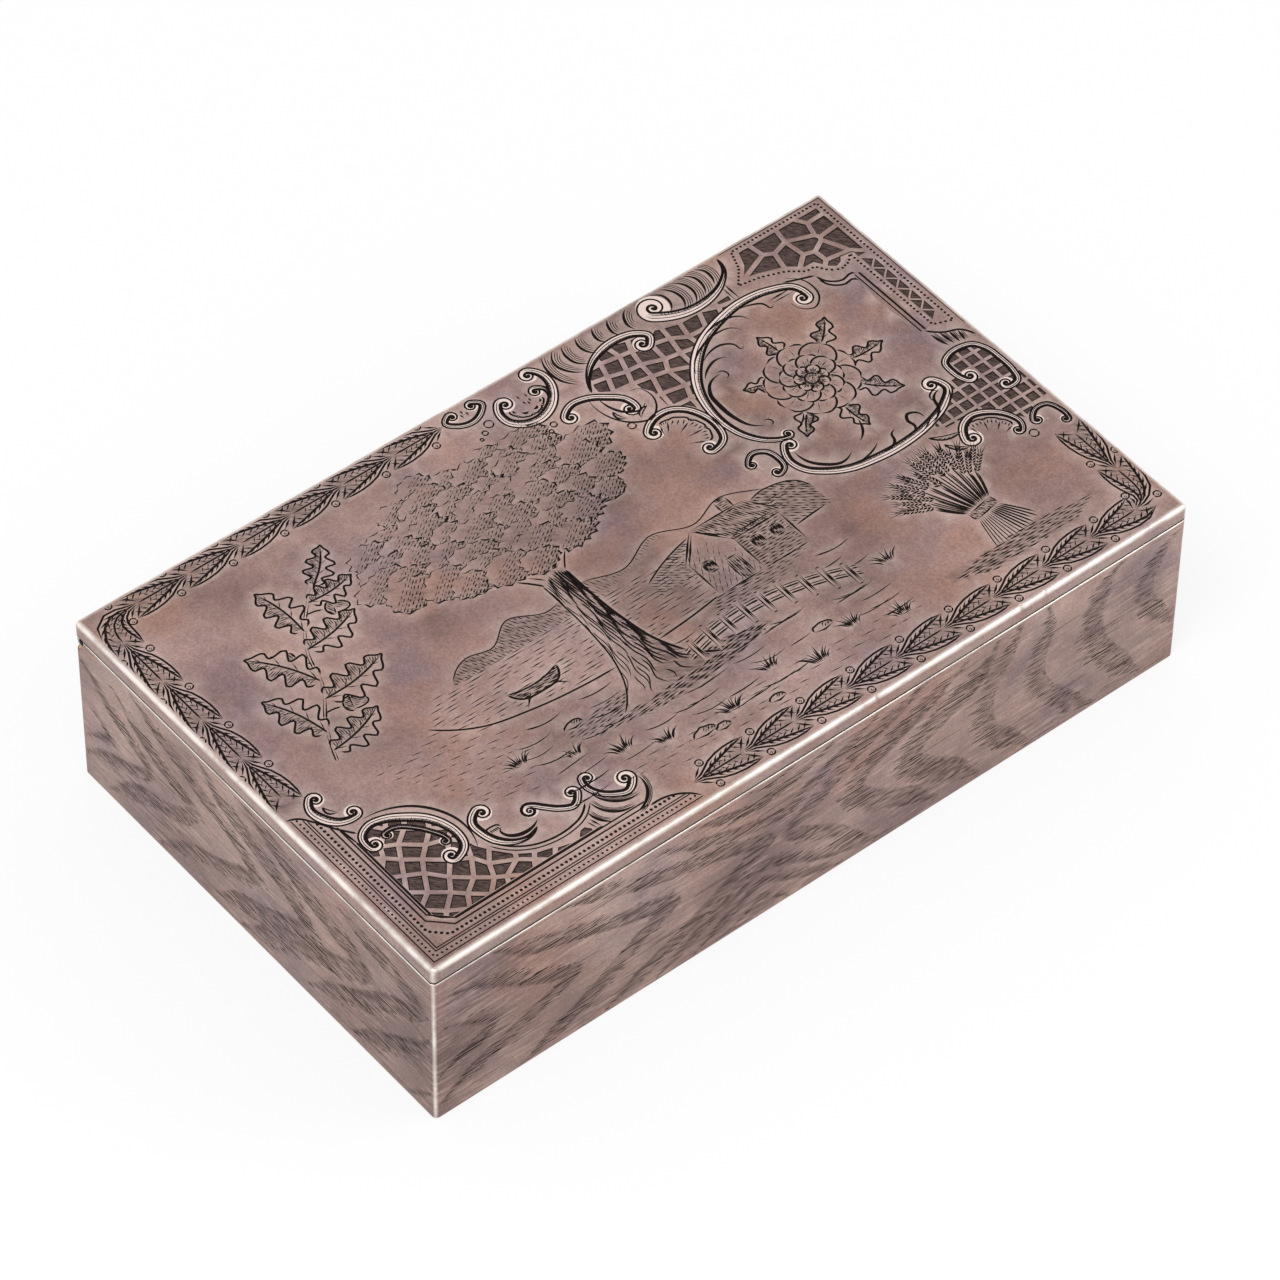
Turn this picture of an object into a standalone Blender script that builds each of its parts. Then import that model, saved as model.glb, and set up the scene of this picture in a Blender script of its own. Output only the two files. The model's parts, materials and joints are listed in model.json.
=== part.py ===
# Silver cigar box with a flush hinged lid, built from soldered sheet.
# Metres, +Z up. The origin is the middle of the base's underside.
# The long side lies along X, the front is at -Y and the hinge at +Y.

import math

import bmesh
import bpy
from mathutils import Vector

# Closed box
BOX_LENGTH = 0.200  # along X
BOX_DEPTH = 0.119  # along Y
BOX_HEIGHT = 0.047  # base to the top of the lid
LID_HEIGHT = 0.004  # seam to the top of the lid

# Sheet metal
WALL_SHEET = 0.0012  # four walls and the lid's rim, flush inside and out
LID_SHEET = 0.0012
BASE_SHEET = 0.0012

# Rounded edges
CORNER_RADIUS = 0.0012  # upright corners
LID_EDGE_RADIUS = 0.0011  # round the top of the lid
BASE_EDGE_RADIUS = 0.0005  # round the foot of the box

# Joints
SOLDER_GAP = 0.0003  # between pieces that are soldered together
SEAM_GAP = 0.0003  # under the lid's rim when it is shut

# Bezel strips that stand up inside the lid's rim
BEZEL_SHEET = 0.0008
BEZEL_RISE = 0.0016  # above the walls
BEZEL_DEPTH = 0.0050  # down inside the walls
BEZEL_FIT = 0.0004  # to the walls and to the lid's rim
BEZEL_LEAD = 0.0003  # chamfer that guides the rim

# Hinge
KNUCKLE_RADIUS = 0.0015
KNUCKLE_COUNT = 9  # the first and every second one belong to the case
KNUCKLE_GAP = 0.0003
PIN_RADIUS = 0.0006
PIN_FIT = 0.0003
PIN_CHAMFER = 0.0002
PIN_INSET = 0.0010  # the pin stops this far inside the barrel
BARREL_BACK_INSET = 0.0001  # barrel inside the back face
BARREL_END_INSET = 0.0006  # barrel inside the side faces
CHANNEL_GAP = 0.0005  # barrel to the walls' cut edges

# Hinge bearers, the channelled strips that carry the knuckles
BEARER_FIT = 0.0003  # to the barrel
BEARER_LEG = 0.0009  # metal left on the inner side of the barrel
BEARER_LEG_DROP = 0.0022  # case bearer's leg, below the hinge axis
BEARER_TOE_DROP = 0.0054  # case bearer's foot on the back wall, below the axis

# Facets
ROUND_STEPS = 28  # round the knuckles and the pin
CORNER_STEPS = 5  # round a quarter of a corner or an edge
CHANNEL_STEPS = 14  # round a bearer's channel

# Heights and places that follow from the sizes above
SEAM_Z = BOX_HEIGHT - LID_HEIGHT
WALL_TOP = SEAM_Z - SEAM_GAP
WALL_FOOT = BASE_SHEET + SOLDER_GAP
LID_UNDERSIDE = BOX_HEIGHT - LID_SHEET
LID_FITTING_TOP = LID_UNDERSIDE - SOLDER_GAP
CHANNEL_RADIUS = KNUCKLE_RADIUS + BEARER_FIT
HINGE_Y = BOX_DEPTH / 2 - BARREL_BACK_INSET - KNUCKLE_RADIUS
HINGE_Z = SEAM_Z - CHANNEL_RADIUS
BACK_WALL_TOP = HINGE_Z - KNUCKLE_RADIUS - CHANNEL_GAP
INNER_LENGTH = BOX_LENGTH - 2 * WALL_SHEET
BEZEL_FACE = WALL_SHEET + BEZEL_FIT  # bezel's outer face, in from the box's face
BEARER_BACK = BOX_DEPTH / 2 - WALL_SHEET - SOLDER_GAP - HINGE_Y  # from the axis
BEARER_FRONT = -(CHANNEL_RADIUS + BEARER_LEG)  # from the axis
BARREL_LENGTH = BOX_LENGTH - 2 * BARREL_END_INSET

SILVER = (0.36, 0.30, 0.28)
WORN_SILVER = (0.52, 0.47, 0.44)
GILT = (0.78, 0.58, 0.29)
PIN_METAL = (0.42, 0.38, 0.35)


def clear_scene():
    for old in list(bpy.data.objects):
        bpy.data.objects.remove(old, do_unlink=True)


def metal(name, colour, roughness):
    made = bpy.data.materials.new(name)
    made.use_nodes = True
    shader = made.node_tree.nodes["Principled BSDF"]
    shader.inputs["Base Color"].default_value = (*colour, 1.0)
    shader.inputs["Metallic"].default_value = 1.0
    shader.inputs["Roughness"].default_value = roughness
    return made


def pivot(name, place):
    empty = bpy.data.objects.new(name, None)
    empty.location = place
    bpy.context.collection.objects.link(empty)
    return empty


def piece(name, shape, place, parent, colour, roughness=0.4, turn=0.0):
    """Makes a named piece from a bmesh, at a place in the box's frame."""
    bmesh.ops.recalc_face_normals(shape, faces=shape.faces)
    mesh = bpy.data.meshes.new(name)
    shape.to_mesh(mesh)
    shape.free()
    mesh.shade_smooth()
    mesh.set_sharp_from_angle(angle=math.radians(30))
    made = bpy.data.objects.new(name, mesh)
    made.data.materials.append(metal(name + "_metal", colour, roughness))
    bpy.context.collection.objects.link(made)
    made.parent = parent
    made.location = Vector(place) - parent.location
    made.rotation_euler = (0.0, 0.0, turn)
    return made


def arc(centre, radius, start, end, steps):
    """Points on an arc, with the angles in degrees."""
    points = []
    for step in range(steps + 1):
        angle = math.radians(start + (end - start) * step / steps)
        points.append((centre[0] + radius * math.cos(angle), centre[1] + radius * math.sin(angle)))
    return points


def loft(rings):
    """A closed solid through rings of equally many points, capped at both ends."""
    shape = bmesh.new()
    loops = [[shape.verts.new(point) for point in ring] for ring in rings]
    count = len(loops[0])
    for low, high in zip(loops, loops[1:]):
        for i in range(count):
            j = (i + 1) % count
            shape.faces.new((low[i], low[j], high[j], high[i]))
    shape.faces.new(list(reversed(loops[0])))
    shape.faces.new(loops[-1])
    return shape


def upright(outline, bottom, top):
    """An outline in X and Y, raised between two heights."""
    return loft([[(x, y, height) for x, y in outline] for height in (bottom, top)])


def lengthwise(section, length):
    """A section in Y and Z, run along X about its middle."""
    return loft([[(end, y, z) for y, z in section] for end in (-length / 2, length / 2)])


def wall_outline(length):
    """Plan of one mitred wall: outer face on y = 0, rounded outer corners."""
    half = length / 2
    half_gap = SOLDER_GAP / 2
    slip = math.degrees(math.asin(half_gap / CORNER_RADIUS))
    left = (-half + CORNER_RADIUS, CORNER_RADIUS)
    right = (half - CORNER_RADIUS, CORNER_RADIUS)
    outline = arc(left, CORNER_RADIUS, 225 + slip, 270, CORNER_STEPS)
    outline += arc(right, CORNER_RADIUS, 270, 315 - slip, CORNER_STEPS)
    inner_radius = CORNER_RADIUS - WALL_SHEET
    if inner_radius > SOLDER_GAP:
        inner_slip = math.degrees(math.asin(half_gap / inner_radius))
        outline += arc(right, inner_radius, 315 - inner_slip, 270, CORNER_STEPS)
        outline += arc(left, inner_radius, 270, 225 + inner_slip, CORNER_STEPS)
    else:
        inner_end = half - WALL_SHEET - half_gap * math.sqrt(2)
        outline += [(inner_end, WALL_SHEET), (-inner_end, WALL_SHEET)]
    return outline


def box_outline(inset):
    """The box's rounded plan, drawn in by an inset."""
    radius = max(CORNER_RADIUS - inset, CORNER_RADIUS * 0.06)
    x = BOX_LENGTH / 2 - inset - radius
    y = BOX_DEPTH / 2 - inset - radius
    outline = []
    for quarter, centre in enumerate(((x, y), (-x, y), (-x, -y), (x, -y))):
        outline += arc(centre, radius, 90 * quarter, 90 * quarter + 90, CORNER_STEPS)
    return outline


def sheet_with_round_edge(thickness, edge_radius, rounded_side):
    """A full plan sheet about its mid height, one face's edge rounded over."""
    radius = min(edge_radius, thickness * 0.95)
    rings = [(0.0, -thickness / 2)]
    for inset, height in arc((radius, thickness / 2 - radius), radius, 180, 90, CORNER_STEPS):
        rings.append((inset, height))
    return loft(
        [[(x, y, rounded_side * height) for x, y in box_outline(inset)] for inset, height in rings]
    )


def make_walls(case):
    """Base sheet and four mitred walls; the side walls are cut for the barrel."""
    base = sheet_with_round_edge(BASE_SHEET, BASE_EDGE_RADIUS, -1)
    piece("base_plate", base, (0, 0, BASE_SHEET / 2), case, SILVER)

    walls = (
        ("front_wall", BOX_LENGTH, (0, -BOX_DEPTH / 2, 0), 0, WALL_TOP),
        ("right_wall", BOX_DEPTH, (BOX_LENGTH / 2, 0, 0), 90, WALL_TOP),
        ("back_wall", BOX_LENGTH, (0, BOX_DEPTH / 2, 0), 180, BACK_WALL_TOP),
        ("left_wall", BOX_DEPTH, (-BOX_LENGTH / 2, 0, 0), 270, WALL_TOP),
    )
    made = {}
    for name, length, place, turn, top in walls:
        shape = upright(wall_outline(length), WALL_FOOT, top)
        made[name] = piece(name, shape, place, case, SILVER, turn=math.radians(turn))

    reach = CHANNEL_GAP + KNUCKLE_RADIUS
    beyond = BOX_DEPTH / 2 - HINGE_Y + WALL_SHEET
    notch = [(beyond, -reach)] + arc((0, 0), reach, 270, 90, CHANNEL_STEPS) + [(beyond, reach)]
    cutter_shape = lengthwise(notch, BOX_LENGTH + 2 * WALL_SHEET)
    cutter = piece("barrel_notch", cutter_shape, (0, HINGE_Y, HINGE_Z), case, SILVER)
    cutter.hide_render = True
    cutter.display_type = "WIRE"
    for name in ("left_wall", "right_wall"):
        cut = made[name].modifiers.new("barrel notch", "BOOLEAN")
        cut.operation = "DIFFERENCE"
        cut.solver = "EXACT"
        cut.object = cutter


def bezel_section():
    """Section of a bezel strip: outer face on y = 0, chamfered where the rim slides on."""
    bottom = WALL_TOP - BEZEL_DEPTH
    top = WALL_TOP + BEZEL_RISE
    return [
        (0, bottom),
        (BEZEL_SHEET, bottom),
        (BEZEL_SHEET, top),
        (BEZEL_LEAD, top),
        (0, top - BEZEL_LEAD),
    ]


def make_bezels(case):
    """Strips inside the front and side walls that locate the shut lid."""
    front_y = -BOX_DEPTH / 2 + BEZEL_FACE
    front_length = BOX_LENGTH - 2 * BEZEL_FACE
    front = lengthwise(bezel_section(), front_length)
    piece("front_bezel", front, (0, front_y, 0), case, GILT, 0.3)

    side_start = front_y + BEZEL_SHEET + SOLDER_GAP
    side_end = HINGE_Y + BEARER_FRONT - SOLDER_GAP
    side_middle = (side_start + side_end) / 2
    side_x = BOX_LENGTH / 2 - BEZEL_FACE
    for name, side, turn in (("right_bezel", 1, 90), ("left_bezel", -1, 270)):
        strip = lengthwise(bezel_section(), side_end - side_start)
        place = (side * side_x, side_middle, 0)
        piece(name, strip, place, case, GILT, 0.3, math.radians(turn))


def make_lid(lid):
    """Top sheet with its rounded edge, and the mitred rim under it."""
    top = sheet_with_round_edge(LID_SHEET, LID_EDGE_RADIUS, 1)
    piece("lid_plate", top, (0, 0, BOX_HEIGHT - LID_SHEET / 2), lid, SILVER)

    rims = (
        ("lid_rim_front", BOX_LENGTH, (0, -BOX_DEPTH / 2, 0), 0),
        ("lid_rim_right", BOX_DEPTH, (BOX_LENGTH / 2, 0, 0), 90),
        ("lid_rim_back", BOX_LENGTH, (0, BOX_DEPTH / 2, 0), 180),
        ("lid_rim_left", BOX_DEPTH, (-BOX_LENGTH / 2, 0, 0), 270),
    )
    for name, length, place, turn in rims:
        shape = upright(wall_outline(length), SEAM_Z, LID_FITTING_TOP)
        piece(name, shape, place, lid, WORN_SILVER, 0.32, math.radians(turn))


def make_bearers(case, lid):
    """Channelled strips round the barrel, in Y and Z from the hinge axis."""
    split = SEAM_GAP / 2
    leg_angle = math.degrees(math.asin(split / CHANNEL_RADIUS))
    back_angle = math.degrees(math.acos(BEARER_BACK / CHANNEL_RADIUS))
    length = INNER_LENGTH - 2 * SOLDER_GAP
    axis = (0, HINGE_Y, HINGE_Z)

    head = LID_FITTING_TOP - HINGE_Z
    lid_section = [(BEARER_BACK, head), (BEARER_FRONT, head), (BEARER_FRONT, split)]
    lid_section += arc((0, 0), CHANNEL_RADIUS, 180 - leg_angle, back_angle, CHANNEL_STEPS)
    piece("lid_hinge_bearer", lengthwise(lid_section, length), axis, lid, GILT, 0.3)

    case_section = [
        (BEARER_FRONT, -split),
        (BEARER_FRONT, -BEARER_LEG_DROP),
        (BEARER_BACK, -BEARER_TOE_DROP),
    ]
    case_section += arc((0, 0), CHANNEL_RADIUS, 360 - back_angle, 180 + leg_angle, CHANNEL_STEPS)
    piece("case_hinge_bearer", lengthwise(case_section, length), axis, case, GILT, 0.3)


def ring(x, radius):
    """Points round the X axis."""
    return [(x, y, z) for y, z in arc((0, 0), radius, 0, 360, ROUND_STEPS)[:-1]]


def tube(length, radius, bore):
    """A tube along X: the four rings of its section, joined all the way round."""
    shape = bmesh.new()
    corners = ((-length / 2, bore), (-length / 2, radius), (length / 2, radius), (length / 2, bore))
    loops = [[shape.verts.new(point) for point in ring(x, size)] for x, size in corners]
    for here, there in zip(loops, loops[1:] + loops[:1]):
        for i in range(ROUND_STEPS):
            j = (i + 1) % ROUND_STEPS
            shape.faces.new((here[i], here[j], there[j], there[i]))
    return shape


def make_barrel(case, lid):
    """Knuckles in turn on the case and on the lid, and the pin through them."""
    knuckle_length = (BARREL_LENGTH - (KNUCKLE_COUNT - 1) * KNUCKLE_GAP) / KNUCKLE_COUNT
    bore = PIN_RADIUS + PIN_FIT
    for index in range(KNUCKLE_COUNT):
        owner, word = (case, "case") if index % 2 == 0 else (lid, "lid")
        x = -BARREL_LENGTH / 2 + knuckle_length / 2 + index * (knuckle_length + KNUCKLE_GAP)
        name = f"{word}_knuckle_{index // 2 + 1}"
        shape = tube(knuckle_length, KNUCKLE_RADIUS, bore)
        piece(name, shape, (x, HINGE_Y, HINGE_Z), owner, WORN_SILVER, 0.35)

    end = BARREL_LENGTH / 2 - PIN_INSET
    tip = PIN_RADIUS - PIN_CHAMFER
    steps = ((-end, tip), (-end + PIN_CHAMFER, PIN_RADIUS), (end - PIN_CHAMFER, PIN_RADIUS), (end, tip))
    pin = loft([ring(x, radius) for x, radius in steps])
    piece("hinge_pin", pin, (0, HINGE_Y, HINGE_Z), case, PIN_METAL, 0.35)


clear_scene()
case_frame = pivot("case_frame", (0, 0, 0))
lid_pivot = pivot("lid_pivot", (0, HINGE_Y, HINGE_Z))
bpy.context.view_layer.update()
make_walls(case_frame)
make_bezels(case_frame)
make_lid(lid_pivot)
make_bearers(case_frame, lid_pivot)
make_barrel(case_frame, lid_pivot)
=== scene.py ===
import json
import math
import random

import bmesh
import bpy
import numpy as np
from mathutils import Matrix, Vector
from mathutils.geometry import delaunay_2d_cdt

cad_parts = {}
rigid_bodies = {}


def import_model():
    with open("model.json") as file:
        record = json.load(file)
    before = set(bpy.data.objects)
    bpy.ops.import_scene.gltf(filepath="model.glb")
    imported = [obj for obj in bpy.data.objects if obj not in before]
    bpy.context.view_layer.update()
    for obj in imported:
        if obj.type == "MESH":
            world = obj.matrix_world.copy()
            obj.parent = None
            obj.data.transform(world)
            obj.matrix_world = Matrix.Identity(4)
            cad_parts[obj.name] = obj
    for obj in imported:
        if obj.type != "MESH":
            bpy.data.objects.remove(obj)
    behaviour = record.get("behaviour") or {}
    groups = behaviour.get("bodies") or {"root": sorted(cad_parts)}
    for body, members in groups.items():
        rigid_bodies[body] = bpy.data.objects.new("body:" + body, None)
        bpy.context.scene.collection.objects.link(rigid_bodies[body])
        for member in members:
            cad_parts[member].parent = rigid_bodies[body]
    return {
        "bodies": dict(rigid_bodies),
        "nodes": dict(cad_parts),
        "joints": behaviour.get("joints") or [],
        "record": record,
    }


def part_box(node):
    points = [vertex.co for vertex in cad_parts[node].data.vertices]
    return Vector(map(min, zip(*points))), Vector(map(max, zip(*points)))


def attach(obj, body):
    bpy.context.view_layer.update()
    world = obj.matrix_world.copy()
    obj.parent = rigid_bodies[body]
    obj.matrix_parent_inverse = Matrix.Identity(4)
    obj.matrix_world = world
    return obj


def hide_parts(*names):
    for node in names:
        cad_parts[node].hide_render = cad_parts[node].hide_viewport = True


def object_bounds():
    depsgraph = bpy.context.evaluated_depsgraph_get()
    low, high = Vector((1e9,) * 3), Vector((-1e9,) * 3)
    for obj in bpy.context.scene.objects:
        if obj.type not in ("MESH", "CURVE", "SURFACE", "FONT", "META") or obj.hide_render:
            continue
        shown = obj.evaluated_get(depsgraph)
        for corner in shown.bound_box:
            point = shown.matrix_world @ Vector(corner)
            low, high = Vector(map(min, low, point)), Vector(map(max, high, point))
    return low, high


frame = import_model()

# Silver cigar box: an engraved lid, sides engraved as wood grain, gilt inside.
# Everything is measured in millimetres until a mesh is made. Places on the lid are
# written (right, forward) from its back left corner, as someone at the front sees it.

mm = 0.001
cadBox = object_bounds()
boxLength = (cadBox[1].x - cadBox[0].x) / mm
boxDepth = (cadBox[1].y - cadBox[0].y) / mm
boxTop = cadBox[1].z / mm
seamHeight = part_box("lid_rim_front")[0].z / mm
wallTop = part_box("front_wall")[1].z / mm
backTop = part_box("back_wall")[1].z / mm
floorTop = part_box("base_plate")[1].z / mm
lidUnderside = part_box("lid_plate")[0].z / mm
wallSheet = (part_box("front_wall")[1].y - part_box("front_wall")[0].y) / mm
cornerRadius = wallSheet
cornerSteps = 6
hingeY = frame["joints"][0]["pos_m"][1] / mm
hingeZ = frame["joints"][0]["pos_m"][2] / mm

# What a triangle of an engraved sheet belongs to; a higher number hides a lower one
plainMetal, recessWall, recessFloor, keptMetal, cutLine = range(5)


class Places:
    # points sorted from left to right, to find quickly which of them lie inside an outline
    def __init__(self, places):
        self.places = places
        self.order = np.argsort(places[:, 0])
        self.across = places[self.order, 0]

    def inside(self, outline):
        low, high = outline.min(0), outline.max(0)
        near = self.order[np.searchsorted(self.across, low[0]):np.searchsorted(self.across, high[0])]
        near = near[(self.places[near, 1] > low[1]) & (self.places[near, 1] < high[1])]
        return near[windings(self.places[near], outline) != 0] if len(near) else near


# The engraver's sheet

class Sheet:
    # one face of the box laid flat, with everything that is cut into it
    boldness = 1.3
    longCut = 7  # cuts longer than this get points where their tapers stop
    latticePitch = 3.2  # spacing of the places that carry the tones over uncut metal

    def __init__(self, outline):
        self.points, self.depths, self.edges, self.loops, self.kinds = [], [], [], [], []
        self.tones = []  # outlines and how dark they are shaded; a later one hides an earlier one
        self.low, self.high = -np.inf, np.inf
        self.loop(outline, plainMetal)
        self.low, self.high = np.min(outline, 0) + 0.12, np.max(outline, 0) - 0.12

    def put(self, points, depths):
        first = len(self.points)
        self.points.extend(np.clip(points, self.low, self.high).tolist())
        self.depths.extend(np.broadcast_to(depths, len(points)).tolist())
        return first

    def loop(self, points, kind, depth=0):
        # an outline, turned so that its inside lies on its left
        points = np.clip(points, self.low, self.high)
        first = self.put(points if area(points) > 0 else points[::-1], depth)
        self.loops.append(list(range(first, first + len(points))))
        self.kinds.append(kind)

    def line(self, path, width=0.3, ends=(0.6, 0.6), depth=0.45):
        # a V-shaped cut along a path, pointed at both ends; depth is a share of the width
        path = np.asarray(path, float)
        if len(path) == 2 and np.hypot(*(path[1] - path[0])) < self.longCut:
            path = np.array((path[0], path[0] * 0.6 + path[1] * 0.4, path[1]))
        elif len(path) < 5 and np.ndim(width) == 0 and lengthOf(path) > self.longCut:
            path = withTapers(path, ends)
        step = np.diff(path, axis=0)
        reach = np.maximum(np.hypot(step[:, 0], step[:, 1]), 1e-6)
        side = np.stack((-step[:, 1], step[:, 0]), 1) / reach[:, None]
        mitre = side[:-1] + side[1:]
        mitre *= 2 / np.maximum((mitre ** 2).sum(1), 0.8)[:, None]
        gone = np.cumsum(reach)[:-1]
        taper = np.minimum(gone / max(ends[0], 1e-3), (reach.sum() - gone) / max(ends[1], 1e-3))
        half = np.broadcast_to(width, len(path))[1:-1] * self.boldness / 2 * np.clip(taper, 0.12, 1)
        inner = path[1:-1]
        rim = np.concatenate((path[:1], inner - mitre * half[:, None], path[-1:],
                              (inner + mitre * half[:, None])[::-1]))
        if area(np.clip(rim, self.low, self.high)) < 0.001:
            return
        first = self.put(rim, 0)
        count = len(inner)
        self.loops.append(list(range(first, first + len(rim))))
        self.kinds.append(cutLine)
        middle = self.put(inner, half * 2 * depth)
        chain = [first] + list(range(middle, middle + count)) + [first + count + 1]
        self.edges.extend(zip(chain, chain[1:]))

    def dot(self, centre, radius, sides=7, depth=0.6):
        turn = np.arange(sides) * 2 * np.pi / sides
        ring = np.asarray(centre) + radius * np.stack((np.cos(turn), np.sin(turn)), 1)
        self.loop(ring, cutLine)
        self.put([centre], radius * depth)

    def circle(self, centre, radius, width=0.25):
        # two half rings, each running a little past the other
        for start in (0, math.pi):
            turn = np.linspace(start - 0.15, start + math.pi + 0.15, max(int(radius * 6), 7))
            self.line(polar(centre, radius, turn), width, (0.1, 0.1))

    def recess(self, outline, depth=0.16, slope=0.12):
        outline = np.asarray(outline, float)
        if abs(area(outline)) < 0.25:
            return
        self.loop(outline, recessWall)
        floor = inset(outline, slope)
        if area(floor) * area(outline) > 0:
            self.loop(floor, recessFloor, depth)

    def kindsAt(self, places):
        # what each place belongs to: the highest kind of outline that winds round it
        found, points, byWidth = np.zeros(len(places), int), np.array(self.points), Places(places)
        for loop, kind in zip(self.loops, self.kinds):
            inside = byWidth.inside(points[loop])
            found[inside] = np.maximum(found[inside], kind)
        return found

    def toneAt(self, places):
        # how dark each place is shaded, 0 to 1
        shaded, byWidth = np.zeros(len(places)), Places(places)
        for outline, tone in self.tones:
            inside = byWidth.inside(outline)
            shaded[inside] = np.clip(tone(places[inside]), 0, 1)
        return shaded

    def lattice(self):
        # evenly spaced places on the uncut metal, so that tones change smoothly over it
        rows = [np.arange(low + self.latticePitch / 2, high, self.latticePitch)
                for low, high in zip(self.low, self.high)]
        places = np.stack(np.meshgrid(*rows), -1).reshape(-1, 2)
        return places[self.kindsAt(places) == plainMetal]

    def build(self):
        self.put(self.lattice(), 0)
        flat = [Vector(point) for point in self.points]
        edges = list(self.edges)
        for loop in self.loops[1:]:
            edges.extend(zip(loop, loop[1:] + loop[:1]))
        found = delaunay_2d_cdt(flat, edges, self.loops[:1], 1, 1e-5, True)
        corners = np.array([point[:] for point in found[0]])
        faces = np.array(found[2])
        kinds = self.kindsAt(corners[faces].mean(1))
        depth = np.array([max((self.depths[i] for i in owners), default=0.05) for owners in found[3]])
        uncut = (kinds == plainMetal) | (kinds == keptMetal)
        level = np.zeros(len(corners), bool)
        level[faces[uncut].ravel()] = True
        depth[level] = 0.0
        first, second, third = (corners[faces[:, i]] for i in range(3))
        turn = (second - first)[:, 0] * (third - first)[:, 1] - (second - first)[:, 1] * (third - first)[:, 0]
        faces[turn < 0] = faces[turn < 0][:, ::-1]
        print(f"  sheet with {len(self.loops)} cuts: {len(self.points)} points, {len(faces)} triangles")
        marks = {"worked": density(corners, faces, kinds, np.abs(turn) / 2), "shaded": self.toneAt(corners),
                 "standing": (kinds == keptMetal).astype(float)}
        return corners, depth, faces, kinds, marks


def windings(places, rim):
    # how often an outline winds round each place
    start, end = rim, np.roll(rim, -1, 0)
    ahead = end - start
    above, upTo = start[:, 1] > places[:, 1:], end[:, 1] > places[:, 1:]
    over = ahead[:, 0] * (places[:, 1:] - start[:, 1]) - ahead[:, 1] * (places[:, :1] - start[:, 0])
    return (~above & upTo & (over > 0)).sum(1) - (above & ~upTo & (over < 0)).sum(1)


def density(corners, faces, kinds, areas, cell=0.8, spread=2, gain=2.2):
    # how much of the metal nearby is cut away, 0 to 1, at each corner
    low = corners.min(0)
    size = ((corners.max(0) - low) / cell).astype(int) + 2
    grid = np.zeros(size)
    worked = (kinds == cutLine) | (kinds == recessFloor) | (kinds == recessWall)
    middle = ((corners[faces].mean(1) - low) / cell).astype(int)
    np.add.at(grid, (middle[worked, 0], middle[worked, 1]), areas[worked] / cell ** 2)
    for _ in range(spread):
        padded = np.pad(grid, 1, mode="edge")
        grid = (padded[:-2, 1:-1] + padded[2:, 1:-1] + padded[1:-1, :-2] + padded[1:-1, 2:] + 2 * grid) / 6
    place = ((corners - low) / cell).astype(int)
    return np.clip(grid[place[:, 0], place[:, 1]] * gain, 0, 1)


# Drawing helpers: paths are arrays of points

def withTapers(path, ends):
    # adds a point where each taper of a short path stops
    first, last = path[1] - path[0], path[-1] - path[-2]
    places = [path[0]]
    if np.hypot(*first) > ends[0] * 2.5:
        places.append(path[0] + first / np.hypot(*first) * ends[0])
    places.extend(path[1:-1])
    if np.hypot(*last) > ends[1] * 2.5:
        places.append(path[-1] - last / np.hypot(*last) * ends[1])
    if len(places) == 1:
        places.append(path[0] * 0.6 + path[-1] * 0.4)
    return np.array((*places, path[-1]))


def polar(centre, radius, turn):
    return np.stack((centre[0] + radius * np.cos(turn), centre[1] + radius * np.sin(turn)), 1)


def area(outline):
    after = np.roll(outline, -1, 0)
    return (outline[:, 0] * after[:, 1] - after[:, 0] * outline[:, 1]).sum() / 2


def sides(path):
    # unit vectors square to a path
    ahead = np.gradient(path, axis=0)
    return np.stack((-ahead[:, 1], ahead[:, 0]), 1) / np.maximum(np.hypot(*ahead.T), 1e-6)[:, None]


def heading(turn):
    return np.array((math.cos(turn), math.sin(turn)))


def leftOf(way):
    return np.array((-way[1], way[0]))


def ribbon(first, second):
    # an outline that runs out along one edge and back along another
    return np.concatenate((first, second[::-1]))


def sample(path, at):
    # places along a path, counted in its own points
    return np.stack([np.interp(at, np.arange(len(path)), path[:, i]) for i in (0, 1)], 1)


def stretches(flags):
    # where each unbroken run of true flags begins and ends
    edges = np.flatnonzero(np.diff(np.concatenate(([0], flags.astype(int), [0]))))
    return list(zip(edges[::2], edges[1::2]))


def inset(outline, distance):
    # an outline moved inwards
    turned = np.sign(area(outline))
    before = outline - np.roll(outline, 1, 0)
    after = np.roll(outline, -1, 0) - outline
    normals = []
    for edge in (before, after):
        long = np.maximum(np.hypot(edge[:, 0], edge[:, 1]), 1e-9)[:, None]
        normals.append(np.stack((-edge[:, 1], edge[:, 0]), 1) / long * turned)
    both = normals[0] + normals[1]
    both *= 2 / np.maximum((both ** 2).sum(1), 0.7)[:, None]
    return outline + both * distance


def curve(points, step=0.8, leave=None, arrive=None):
    # a smooth path through a few points, with its directions at the ends if they are given
    through = np.array(points, float)
    knots = np.concatenate(([0], np.cumsum(np.hypot(*np.diff(through, axis=0).T))))
    count = max(int(round(knots[-1] / step)), 2)
    where = np.linspace(0, knots[-1], count + 1)
    if len(through) == 2:
        return through[0] + (through[1] - through[0]) * (where / knots[-1])[:, None]
    slope = np.gradient(through, knots, axis=0, edge_order=2)
    for end, way in ((0, leave), (-1, arrive)):
        if way is not None:
            slope[end] = way / np.hypot(*way)
    k = np.clip(np.searchsorted(knots, where, side="right") - 1, 0, len(through) - 2)
    span = (knots[k + 1] - knots[k])[:, None]
    x = ((where - knots[k])[:, None]) / span
    return ((2 * x ** 3 - 3 * x ** 2 + 1) * through[k] + (x ** 3 - 2 * x ** 2 + x) * span * slope[k]
            + (3 * x ** 2 - 2 * x ** 3) * through[k + 1] + (x ** 3 - x ** 2) * span * slope[k + 1])


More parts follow.
